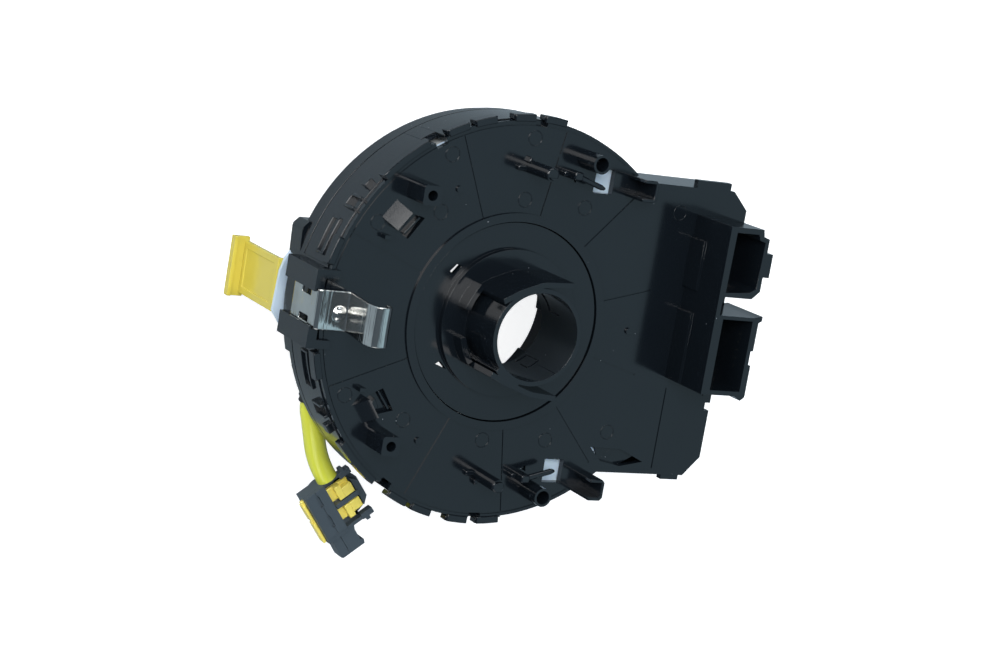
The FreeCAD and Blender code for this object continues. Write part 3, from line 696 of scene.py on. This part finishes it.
@dataclass
class SpringClip:
    """The bent steel clip that is pressed over the rim of the plate; sizes in millimetres."""

    groups: Groups
    leg_x: float = -56.1
    leg_foot: float = -13.0
    run_z: float = 1.6
    width: float = 10.3
    thickness: float = 0.5
    slot_y: tuple[float, float] = (2.7, 4.3)
    slot_z: tuple[float, float] = (-8.0, -2.4)
    dimple: tuple[float, float] = (-49.6, -0.7)
    dimple_radius: float = 1.9
    dimple_height: float = 0.75
    bends: tuple[float, ...] = (1.2, 0.9, 2.4, 2.0, 2.0)
    step_along: float = 0.4
    step_across: float = 0.36

    def profile(self) -> np.ndarray:
        """Work out the side view of the clip, from the foot of its leg to the tip of its leaf.

        Returns:
            Array (n, 2) of x and z.
        """
        x, z = self.leg_x, self.run_z
        corners = [(x, self.leg_foot), (x, z), (x + 9.1, z), (x + 7.7, 15.4), (x + 8.5, 19.4),
                   (x + 12.9, 19.2), (x + 12.6, 15.4)]
        return divided(rounded_path(corners, self.bends), self.step_along)

    def build(self) -> None:
        """Make the clip as one sheet that is swept along its side view.

        A point of the sheet is the profile point (x, z) at each y. Round the dimple the sheet is raised
        by height times 1 - (distance / radius) squared. The faces inside the two lance slots are left out.
        """
        side = self.profile()
        half, (inner, outer) = self.width / 2, self.slot_y
        marks = np.array([-half, -outer, -inner, inner, outer, half])
        across = divided(marks[:, None], self.step_across)[:, 0]
        along, y = np.meshgrid(np.arange(len(side)), across, indexing="ij")
        points = np.stack([side[along, 0], y, side[along, 1]], axis=-1)
        level = np.abs(points[..., 2] - self.run_z) < self.thickness
        away = np.hypot(points[..., 0] - self.dimple[0], points[..., 1] - self.dimple[1]) / self.dimple_radius
        points[..., 2] += np.where(level & (away < 1), self.dimple_height * (1 - away ** 2), 0.0)
        points = points.reshape(-1, 3)
        faces = grid_faces(len(side), len(across), False, False)
        x, y, z = points[faces].mean(axis=1).T
        slot = (np.abs(y) > inner) & (np.abs(y) < outer) & (x < self.leg_x + 1)
        slot &= (z > self.slot_z[0]) & (z < self.slot_z[1])
        piece = mesh_piece("spring_clip_sheet", points * MM, faces[~slot], SPRING_STEEL.build(self.groups))
        sheet = piece.modifiers.new("sheet", "SOLIDIFY")
        sheet.thickness = self.thickness * MM
        sheet.offset = 0.0
        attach(piece, "stator")
        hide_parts("spring_clip")
        LOG.info("made the spring clip")


@dataclass
class Housing:
    """The fixed housing: back plate, round case, connector block and the fixed end of the cable."""

    groups: Groups
    black: bpy.types.Material
    edge: float = 0.16 * MM
    fine_edge: float = 0.08 * MM
    post_edge: float = 0.35 * MM
    case_r: float = 54.2
    skin_depth: float = 0.26
    skin_angles: tuple[float, float] = (92.0, 168.5)
    skin_low: tuple[float, float] = (-19.7, -17.3)
    skin_high: tuple[float, float] = (-16.9, -2.0)
    notch_angles: tuple[float, float] = (119.4, 124.1)
    notch_depth: float = 2.6
    notch_z: float = -7.0
    ledge_z: tuple[float, float] = (-2.5, -2.02)
    channel_x: float = 29.4
    channel_top: float = 9.0
    channel_low_y: tuple[float, float] = (36.9, -45.6)
    channel_width: float = 5.9
    channel_depth: float = 4.5
    channel_wall: float = 0.9
    ear_out: float = 1.4
    ear_angles: tuple[tuple[float, float], ...] = (
        (81.5, 89.0), (91.5, 98.5), (103.5, 110.5), (112.0, 119.0), (124.5, 140.5), (160.0, 168.0))
    mark_radius: float = 2.0 * MM
    mark_tube: float = 0.12 * MM
    mark_flat: float = 0.7
    mark_grid: tuple[int, int] = (48, 10)
    mark_spots: tuple[tuple[float, float], ...] = (
        (-24.1, 42.8), (-0.8, 49.4), (-0.7, 33.0), (17.8, 32.5), (-24.7, 27.6), (-42.1, 23.4),
        (-43.5, -22.2), (-25.6, -28.0), (-1.1, -32.4), (18.3, -31.6), (37.4, -28.5), (47.9, 33.8),
    )

    def plate_cuts(self) -> list[Block]:
        """Work out what is cut off the plate: broad ears, tall channels, long fins and small windows.

        Returns:
            Blocks on both sides.
        """
        cuts = [band(59.0, self.case_r + 0.02, 80.0, 169.0, -4.8, 0.1),
                rect(25.1, 30.6, 38.6, 45.2, 0.01, 18.0),
                rect(-15.0, 12.6, 41.0, 48.0, 0.01, 14.0),
                rect(8.0, 23.0, 36.6, 40.99, 0.01, 8.0),
                rect(-39.2, -35.3, 31.0, 34.8, 0.01, 5.0),
                poly([(19.7, 36.8), (25.3, 36.8), (25.3, 43.3), (19.7, 43.4)], -2.2, 0.005),
                poly([(11.7, 39.6), (13.6, 38.9), (13.9, 40.6)], -2.2, 0.005)]
        return both_sides(cuts)

    def case_cuts(self) -> list[Block]:
        """Work out what is cut off the case: broad lugs and ribs, the skin of the wall and the notches.

        Returns:
            Blocks on both sides.
        """
        cuts = [band(62.0, self.case_r - self.skin_depth + 0.01, *self.skin_angles, -20.0, -0.5),
                band(56.0, self.case_r - self.notch_depth, *self.notch_angles, self.notch_z, -0.6)]
        return both_sides(cuts)

    def dress(self) -> None:
        """Give the CAD nodes of the housing their finishes."""
        softened_node("back_plate", self.black, self.edge, "stator", self.plate_cuts())
        softened_node("outer_case", self.black, self.edge, "stator", self.case_cuts())
        softened_node("connector_block", self.black, self.edge, "stator")
        metal = CONTACT_METAL.build(self.groups)
        for node in ("upper_socket_pins", "lower_socket_pins"):
            paint_node(node, metal)
        paint_node("case_cable_block", PALE_PLASTIC.build(self.groups))
        paint_node("flat_cable", CABLE_FILM.build(self.groups))

    def build(self) -> None:
        """Make the fine forms of the housing that stand beside its CAD nodes."""
        for name, blocks, width in (
                ("case_skin", both_sides(self.skin()), self.fine_edge),
                ("window_ledges", self.ledges(), self.edge),
                ("rim_ears", both_sides(self.ears()), self.edge),
                ("case_latches", both_sides(self.latches()), self.edge),
                ("guide_posts", both_sides(self.posts()), self.post_edge),
                ("guide_channels", self.channels(), self.edge)):
            block_piece(name, blocks, self.black, width, "stator")

    def skin(self) -> list[Block]:
        """Work out the skin of the round wall, in two bands with a fine line between them.

        Returns:
            Blocks on one side; the upper band stops below the notch.
        """
        out, root = self.case_r, self.case_r - self.skin_depth
        first, last = self.skin_angles
        start, end = self.notch_angles
        low, high = self.skin_high
        return [band(out, root, first, last, *self.skin_low), band(out, root, first, start, low, high),
                band(out, root, end, last, low, high), band(out, root, start, end, low, self.notch_z)]

    def ledges(self) -> list[Block]:
        """Work out the ledges under the windows of the plate and the small tongues in the left ones.

        Returns:
            Blocks on both sides.
        """
        low, high = self.ledge_z
        blocks = both_sides([poly([(-38.5, 30.0), (-27.5, 27.5), (-31.5, 17.5), (-40.0, 20.5)], low, high),
                             poly([(-36.0, 24.4), (-34.4, 26.2), (-33.2, 25.0), (-34.6, 22.6)], -2.3, -0.3),
                             poly([(-33.4, 20.6), (-29.6, 25.3), (-30.2, 25.8), (-34.0, 21.0)], -2.3, -0.9)])
        outline = [(34.6, -31.9), (44.4, -32.6), (49.0, -35.2), (43.4, -38.6), (37.0, -37.0)]
        return blocks + [poly(outline, low, high)]

    def ears(self) -> list[Block]:
        """Work out the ears on the rim of the plate, each with a low bar and a skirt outside the case.

        Returns:
            Blocks on one side.
        """
        out = self.case_r + self.ear_out
        blocks = []
        for first, last in self.ear_angles:
            blocks.append(band(out, self.case_r + 0.05, first, last, -2.9, 0.0))
            blocks.append(band(out, self.case_r - 0.5, first + 0.3, last - 0.3, -0.5, 0.5))
        return blocks

    def latches(self) -> list[Block]:
        """Work out the latch frames, hooks and raised panels on the round wall of the case.

        Returns:
            Blocks on one side.
        """
        root, out, panel = self.case_r - 0.4, self.case_r + 1.3, self.case_r + 0.6
        blocks = [band(out, root, 148.0, 152.2, -8.0, -6.6), band(out, root, 148.0, 148.8, -6.7, -2.0),
                  band(out, root, 151.4, 152.2, -6.7, -2.0), band(out - 0.1, root, 142.2, 145.0, -7.0, -4.4)]
        blocks += [band(panel, root, 155.5, 166.5, low, low + 0.7) for low in (-10.5, -6.7)]
        blocks += [band(panel, root, first, first + 0.7, -10.0, -6.5) for first in (155.5, 165.8)]
        return blocks

    def posts(self) -> list[Block]:
        """Return the guide pins with their pads and the arms that reach over the small windows."""
        arm = [(11.4, 40.4), (18.4, 38.3), (19.5, 38.3), (20.0, 38.9), (18.8, 39.7), (11.8, 41.8)]
        return [pillar(1.8, -0.6, 41.8, -0.5, 12.0),
                rect(-5.0, -1.8, 40.7, 42.1, -0.5, 1.2),
                poly([(-1.8, 44.7), (-2.5, 43.0), (-0.3, 43.0)], -0.5, 1.6),
                rect(9.8, 12.4, 40.2, 42.4, -0.5, 5.6),
                rect(8.2, 9.9, 40.6, 42.0, -0.5, 2.6),
                poly(arm, 4.2, 5.5)]

    def channels(self) -> list[Block]:
        """Work out the two upright channels, open toward -X, with the filling of the window under each.

        Returns:
            Blocks on both sides.
        """
        x0, x1, wall = self.channel_x, self.channel_x + self.channel_depth, self.channel_wall
        blocks = []
        for y0 in self.channel_low_y:
            y1 = y0 + self.channel_width
            outline = [(x0, y0), (x1 - 0.8, y0), (x1, y0 + 0.8), (x1, y1 - 0.8), (x1 - 0.8, y1), (x0, y1),
                       (x0, y1 - wall), (x1 - wall, y1 - wall), (x1 - wall, y0 + wall), (x0, y0 + wall)]
            blocks.append(poly(outline, -2.0, self.channel_top))
            blocks.append(rect(x0 + 0.05, x1 - 0.3, y0 + 0.3, y1 - 0.3, -1.95, -0.03))
        return blocks

    def build_marks(self) -> None:
        """Make the fine round ejector marks on the back face.

        Each mark is a level ring: its point is the centre plus (radius + tube cos v) along the angle u,
        and flat times tube sin v up.
        """
        rows, columns = self.mark_grid
        u, v = np.meshgrid(np.arange(rows) * 2 * np.pi / rows, np.arange(columns) * 2 * np.pi / columns,
                           indexing="ij")
        r = self.mark_radius + self.mark_tube * np.cos(v)
        ring = np.stack([r * np.cos(u), r * np.sin(u), self.mark_flat * self.mark_tube * np.sin(v)], axis=-1)
        centres = np.array([(x * MM, y * MM, 0.0) for x, y in self.mark_spots])
        points = centres[:, None, :] + ring.reshape(-1, 3)
        starts = np.arange(len(centres)) * rows * columns
        faces = starts[:, None, None] + grid_faces(rows, columns, True, True)
        piece = mesh_piece("ejector_marks", points.reshape(-1, 3), faces.reshape(-1, 4), self.black)
        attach(piece, "stator")
        LOG.info("made ejector_marks with %d rings", len(centres))


@dataclass
class Rotor:
    """The turning half: hub, front rotor, cable block, lock plate and tab, with the roller carrier."""

    groups: Groups
    black: bpy.types.Material
    edge: float = 0.16 * MM
    fine_edge: float = 0.07 * MM
    plate_edge: float = 0.1 * MM
    tab_edge: float = 0.14 * MM
    outlet_r: float = 50.6
    bore_r: float = 11.73

    def dress(self) -> None:
        """Give the CAD nodes of the rotor their finishes, with the lead's outlet trimmed to the flange."""
        softened_node("rotor_hub", self.black, self.edge, "rotor")
        outlet = band(70.0, self.outlet_r, 198.0, 240.0, -32.0, -21.62)
        softened_node("front_rotor", self.black, self.edge, "rotor", [outlet])
        paint_node("rotor_cable_block", DARK_PLASTIC.build(self.groups))
        paint_node("front_socket_pins", CONTACT_METAL.build(self.groups))
        pale = PALE_PLASTIC.build(self.groups)
        softened_node("lock_plate", pale, self.plate_edge, "rotor")
        for node in ("cable_carrier", "roller_1", "roller_2", "roller_3", "roller_4"):
            paint_node(node, pale)
        softened_node("lock_tab", TAB_YELLOW.build(self.groups), self.tab_edge, "pull_tab")

    def build_bore_marks(self) -> None:
        """Make the fine frame, the seam and the low step on the wall of the hub's bore."""
        wall, low = self.bore_r + 0.1, self.bore_r - 0.22
        blocks = [band(wall, self.bore_r - 0.1, -52.0, -51.2, 8.0, 17.0)]
        for first, last, foot, head in (
                (-64.0, -62.6, 2.2, 6.0), (-64.0, -45.0, 5.6, 6.0), (-46.4, -45.0, -0.6, 5.8),
                (-64.0, -45.0, -0.8, -0.4), (21.0, 50.0, 2.4, 3.0), (21.0, 22.4, 2.4, 7.6),
                (100.0, 101.2, -1.0, 12.0)):
            blocks.append(band(wall, low, first, last, foot, head))
        block_piece("bore_marks", blocks, self.black, self.fine_edge, "rotor")


@dataclass
class Lead:
    """The sleeved airbag lead with its strain relief.

    The first point of its route is hidden in the rotor, and the others are the route of the solid.
    """

    groups: Groups
    radius: float = 3.0 * MM
    relief_start: float = 7.6 * MM
    relief_length: float = 6.4 * MM
    relief_root: float = 4.0 * MM
    relief_tip: float = 3.25 * MM
    relief_step: float = 0.2 * MM
    relief_sides: int = 32
    relief_ribs: int = 5
    rib_height: float = 0.25 * MM
    grip: float = 0.97
    points: tuple[tuple[float, float, float], ...] = (
        (-0.0385, -0.0172, -0.026),
        (-0.0409, -0.0300, -0.026),
        (-0.0386, -0.0370, -0.026),
        (-0.034253, -0.047834, -0.0292),
        (-0.030376, -0.052673, -0.0292),
    )

    def build(self) -> bpy.types.Object:
        """Make the lead as a round curve along its route.

        Its points carry the radius and the bevel depth is 1, because Blender adds each point's
        radius to the box of a curve.

        Returns:
            The curve object.
        """
        curve = bpy.data.curves.new("airbag_lead_sleeve", "CURVE")
        curve.dimensions = "3D"
        curve.bevel_depth = 1.0
        curve.bevel_resolution = 8
        curve.use_fill_caps = True
        spline = curve.splines.new("NURBS")
        spline.points.add(len(self.points) - 1)
        places = np.column_stack([self.points, np.ones(len(self.points))])
        spline.points.foreach_set("co", places.ravel())
        spline.points.foreach_set("radius", np.full(len(self.points), self.radius))
        spline.order_u = 3
        spline.use_endpoint_u = True
        spline.resolution_u = 12
        curve.materials.append(SLEEVE_YELLOW.build(self.groups))
        piece = link("airbag_lead_sleeve", curve)
        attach(piece, "rotor")
        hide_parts("airbag_lead")
        return piece

    def centreline(self, lead: bpy.types.Object) -> np.ndarray:
        """Read the points of the lead's own spline, with no bevel.

        Args:
            lead: the curve object.

        Returns:
            Array (n, 3), metres.
        """
        curve = lead.data
        depth, curve.bevel_depth, curve.use_fill_caps = curve.bevel_depth, 0.0, False
        mesh = evaluated_mesh(lead)
        line = np.empty(len(mesh.vertices) * 3)
        mesh.vertices.foreach_get("co", line)
        bpy.data.meshes.remove(mesh)
        curve.bevel_depth, curve.use_fill_caps = depth, True
        return line.reshape(-1, 3)

    def build_relief(self, lead: bpy.types.Object) -> None:
        """Make the tapered, ribbed strain relief round the lead where it leaves the rotor.

        At the share t of its length the radius is root + (tip - root) t, plus the rib height times
        the square of sin(pi ribs t). The last ring grips the sleeve.

        Args:
            lead: the curve object.
        """
        line = divided(self.centreline(lead), self.relief_step)
        travelled = np.concatenate([[0.0], np.cumsum(np.linalg.norm(np.diff(line, axis=0), axis=1))])
        travelled -= self.relief_start
        keep = (travelled >= 0) & (travelled <= self.relief_length)
        line, t = line[keep], travelled[keep] / self.relief_length
        tangent = np.gradient(line, axis=0)
        tangent /= np.linalg.norm(tangent, axis=1)[:, None]
        side = np.cross(tangent, (0.0, 0.0, 1.0))
        side /= np.linalg.norm(side, axis=1)[:, None]
        up = np.cross(side, tangent)
        radius = self.relief_root + (self.relief_tip - self.relief_root) * t
        radius += self.rib_height * np.sin(np.pi * self.relief_ribs * t) ** 2
        radius[-1] = self.radius * self.grip
        turn = np.linspace(0.0, 2 * np.pi, self.relief_sides, endpoint=False)
        out = np.cos(turn)[:, None] * side[:, None, :] + np.sin(turn)[:, None] * up[:, None, :]
        rings = line[:, None, :] + radius[:, None, None] * out
        faces = grid_faces(len(line), self.relief_sides, False, True)
        piece = mesh_piece("strain_relief", rings.reshape(-1, 3), faces, DARK_RUBBER.build(self.groups))
        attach(piece, "rotor")
        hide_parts("lead_grommet")
        LOG.info("made the strain relief")

    def declare(self, plug: list[bpy.types.Object]) -> None:
        """Args:
            plug: pieces that hang on it; not used.
        """
        LOG.info("declared the airbag lead")


@dataclass
class Plug:
    """The airbag plug at the end of the lead; sizes in millimetres in its own axes.

    Its own X runs away from the lead's end face along the plug and its own Y across it.
    """

    groups: Groups
    edge: float = 0.18 * MM
    place: tuple[float, float] = (-37.4, -58.3)
    turn: float = -51.3
    length: float = 16.0
    width: float = 15.0
    top: float = -26.0
    foot: float = -32.1
    deck: float = -29.7
    lid: float = 1.4
    slide: float = 1.2
    cover_width: float = 6.5
    travel: float = 2.0
    barrel_radius: float = 4.8
    barrel_foot: float = -39.0

    def placed(self, block: Block) -> Block:
        """Turn and move a block from the plug's axes to the frame's.

        Args:
            block: block in the plug's axes.

        Returns:
            The block in the frame's axes.
        """
        c, s = math.cos(math.radians(self.turn)), math.sin(math.radians(self.turn))
        turned = block.outline @ np.array([(c, s), (-s, c)]) + np.array(self.place)
        return Block(turned, block.low, block.high)

    def piece(self, name: str, blocks: list[Block], material: bpy.types.Material, body: str,
              cuts: Sequence[Block] = ()) -> bpy.types.Object:
        """Make one piece of the plug from blocks in the plug's axes."""
        placed, tools = ([self.placed(block) for block in group] for group in (blocks, cuts))
        return block_piece(name, placed, material, self.edge, body, tools)

    def body_blocks(self) -> list[Block]:
        """Work out the body: base, nose, walls, latch arms, leg and barrel.

        Returns:
            Blocks in the plug's axes.
        """
        lid, deck_y, end = self.top - self.lid, self.width - 3.0, self.length
        blocks = [rect(0, end, 0, deck_y, self.foot, self.deck),
                  poly([(1.6, deck_y - 0.1), (end - 1.6, deck_y - 0.1), (end - 2.6, 15.0), (end - 5.2, 16.5),
                        (5.2, 16.5), (2.6, 15.0)], self.foot, self.deck),
                  poly([(3.4, 14.1), (end - 3.4, 14.1), (end - 5.4, 16.0), (5.4, 16.0)], self.deck - 0.1,
                       self.deck + 2.2),
                  rect(7.2, 8.6, self.cover_width + 0.3, 14.2, self.deck - 0.1, self.top - 0.6),
                  poly([(end - 0.5, 1.2), (end + 5.9, 1.0), (end + 6.5, 1.6), (end + 6.5, 8.8),
                        (end + 5.3, 9.2), (end + 4.8, 8.3), (end + 1.2, 8.3), (end - 0.5, 8.9)],
                       self.foot, lid - 0.1),
                  pillar(self.barrel_radius, end / 2, self.width / 2, self.barrel_foot, self.foot + 0.1)]
        for wall, arm, knob in (((0.0, 1.0), (0.0, 1.7), (-0.9, 0.4)),
                                ((15.0, 16.0), (14.3, 16.0), (15.6, 16.9))):
            blocks.append(rect(*wall, 0, deck_y, self.deck - 0.1, lid))
            blocks.append(rect(*arm, deck_y - 0.3, 15.4, self.deck + 0.4, lid + 0.4))
            blocks.append(rect(*knob, deck_y + 0.6, deck_y + 1.8, self.deck + 0.4, lid + 0.4))
        return blocks

    def build(self) -> list[bpy.types.Object]:
        """Make the plug.

        Returns:
            The shown pieces of the plug.
        """
        slate = SLATE_PLASTIC.build(self.groups)
        lid, end, cover = self.top - self.lid, self.length, self.cover_width
        hollow = pillar(self.barrel_radius - 1.4, end / 2, self.width / 2,
                        self.barrel_foot - 1, self.foot - 1.0)
        groove = rect(end + 0.1, end + 5.8, 3.7, 3.9, lid - 0.5, lid + 1)
        shell = self.piece("plug_shell", self.body_blocks(), slate, "rotor", [hollow, groove])
        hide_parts("plug_body")
        slots = [rect(x0, x1, 3.0, 3.9, self.top - 0.8, self.top + 1) for x0, x1 in ((1.4, 4.9), (8.2, 12.0))]
        slots.append(rect(-1, end + 1, 3.35, 3.55, self.top - 0.3, self.top + 0.9))
        sheets = [rect(1.05, end - 1.05, 0, cover, self.deck + 1.5, lid + 0.1),
                  rect(0, end - 1.6, 0, cover, lid, self.top),
                  rect(end - 1.7, end, 0.1, cover - 0.1, lid, lid + 0.7)]
        lid_piece = self.piece("plug_lid", sheets, slate, "rotor", slots)
        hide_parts("plug_cover")
        levers = self.piece("plug_levers", self.lever_blocks(), LOCK_YELLOW.build(self.groups), "plug_slide")
        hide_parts("plug_lock")
        paint_node("plug_contacts", CONTACT_METAL.build(self.groups))
        return [shell, lid_piece, levers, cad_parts["plug_contacts"]]

    def lever_blocks(self) -> list[Block]:
        """Work out the locking slide: its plate under the lid, its edge strip and its two L-shaped levers.

        Returns:
            Blocks in the plug's axes.
        """
        end, cover, crown = self.length, self.cover_width, self.top - 0.4
        low, high = self.deck + 0.12, self.deck + 0.12 + self.slide
        back, tip = cover + self.travel + 0.2, self.width - 1.4
        levers = [rect(1.12, end - 1.12, -0.9, cover, low, high)]
        for x0, x1, front in ((2.4, 7.6, -1.0), (7.6, 8.6, -0.5), (8.6, end - 0.6, -1.0)):
            levers.append(rect(x0, x1, front, -0.12, low - 1.2, high + 0.6))
        for x0, x1, arm in ((2.6, 6.8, 3.8), (8.9, 13.1, 8.9)):
            levers.append(rect(x0, x1, cover - 0.1, tip, low, high))
            levers.append(rect(x0, x1, back, back + 1.9, high - 0.1, crown))
            levers.append(rect(arm, arm + 3.0, back + 1.8, tip, high - 0.1, crown))
        return levers


# Light and camera


@dataclass(frozen=True)
class SoftLight:
    """One large soft lamp that faces the origin."""

    name: str
    place: tuple[float, float, float]
    size: tuple[float, float]
    power: float
    colour: tuple[float, float, float] = (1.0, 1.0, 1.0)

    def build(self) -> None:
        """Make the lamp and turn it to the origin."""
        lamp = bpy.data.lights.new(self.name, "AREA")
        lamp.shape = "RECTANGLE"
        lamp.size, lamp.size_y = self.size
        lamp.energy = self.power
        lamp.color = self.colour
        piece = link(self.name, lamp)
        piece.location = self.place
        piece.rotation_mode = "QUATERNION"
        piece.rotation_quaternion = (-Vector(self.place)).to_track_quat("-Z", "Y")


@dataclass
class Studio:
    """Floor, lamps, pale surround and the camera at the photograph's angle."""

    groups: Groups
    floor_z: float
    floor_half: float = 3.0
    floor_rows: int = 9
    eye: tuple[float, float, float] = (-0.312833, 0.107883, 0.541758)
    aim: tuple[float, float, float] = (-0.00127, -0.003135, 0.0)
    roll: float = 9.871
    lens: float = 86.4
    sensor: float = 36.0
    sight: tuple[float, float] = (0.01, 20.0)
    dim: tuple[float, float, float, float] = (0.09, 0.115, 0.14, 1.0)
    lamps: tuple[SoftLight, ...] = (
        SoftLight("sky_panel", (0.54, -0.19, 0.94), (0.8, 0.8), 1.05, (0.62, 0.88, 1.0)),
        SoftLight("left_softbox", (-0.9, 0.35, 0.35), (0.6, 0.9), 4.0),
        SoftLight("top_softbox", (0.0, 1.0, 0.55), (1.0, 0.4), 3.8, (0.9, 0.96, 1.0)),
        SoftLight("low_softbox", (-0.2, -1.0, 0.5), (0.8, 0.4), 2.0),
        SoftLight("key_softbox", (-0.45, 0.35, 1.0), (0.5, 0.5), 9.5),
    )

    def build(self) -> None:
        """Make the floor and the light."""
        steps = np.linspace(-self.floor_half, self.floor_half, self.floor_rows)
        u, v = np.meshgrid(steps, steps, indexing="ij")
        points = np.stack([u, v, np.full_like(u, self.floor_z)], axis=-1).reshape(-1, 3)
        faces = grid_faces(self.floor_rows, self.floor_rows, False, False)
        mesh_piece("floor", points, faces, WHITE_FLOOR.build(self.groups))
        for lamp in self.lamps:
            lamp.build()
        self.build_world()
        bpy.context.scene.view_settings.view_transform = "Standard"
        LOG.info("made the studio")

    def build_world(self) -> None:
        """Make the surround: white for the camera and dim blue for all other rays."""
        world = bpy.data.worlds.new("surround")
        bpy.context.scene.world = world
        world.use_nodes = True
        tree = world.node_tree
        seen = tree.nodes.new("ShaderNodeLightPath").outputs["Is Camera Ray"]
        feed(tree.nodes["Background"], {"Color": mixed(tree, seen, self.dim, WHITE)})

    def build_camera(self) -> None:
        """Make the camera: it looks from the eye to the aim and is rolled about its own axis."""
        data = bpy.data.cameras.new("photo_camera")
        data.lens = self.lens
        data.sensor_width = self.sensor
        data.clip_start, data.clip_end = self.sight
        camera = link("photo_camera", data)
        camera.location = self.eye
        camera.rotation_mode = "QUATERNION"
        ahead = Vector(self.aim) - Vector(self.eye)
        look = ahead.to_track_quat("-Z", "Y")
        right = look @ Vector((1, 0, 0))
        level = ahead.normalized().cross(Vector((0, 1, 0))).normalized()
        twist = math.atan2(right.cross(level).dot(-ahead.normalized()), right.dot(level))
        spin = Quaternion((0, 0, 1), twist + math.radians(self.roll))
        camera.rotation_quaternion = look @ spin
        bpy.context.scene.camera = camera


def main() -> None:
    """Build the classes in order and report each piece."""
    logging.basicConfig(level=logging.INFO, format="%(name)s: %(message)s")
    groups = Groups()
    studio = Studio(groups, floor_z=cad_low.z - 0.5 * MM)
    studio.build_camera()
    lead = Lead(groups)
    sleeve = lead.build()
    lead.build_relief(sleeve)
    black = BLACK_GLOSS.build(groups)
    housing = Housing(groups, black)
    housing.dress()
    housing.build()
    housing.build_marks()
    SpringClip(groups).build()
    rotor = Rotor(groups, black)
    rotor.dress()
    rotor.build_bore_marks()
    lead.declare(Plug(groups).build())
    studio.build()


if __name__ == "__main__":
    main()
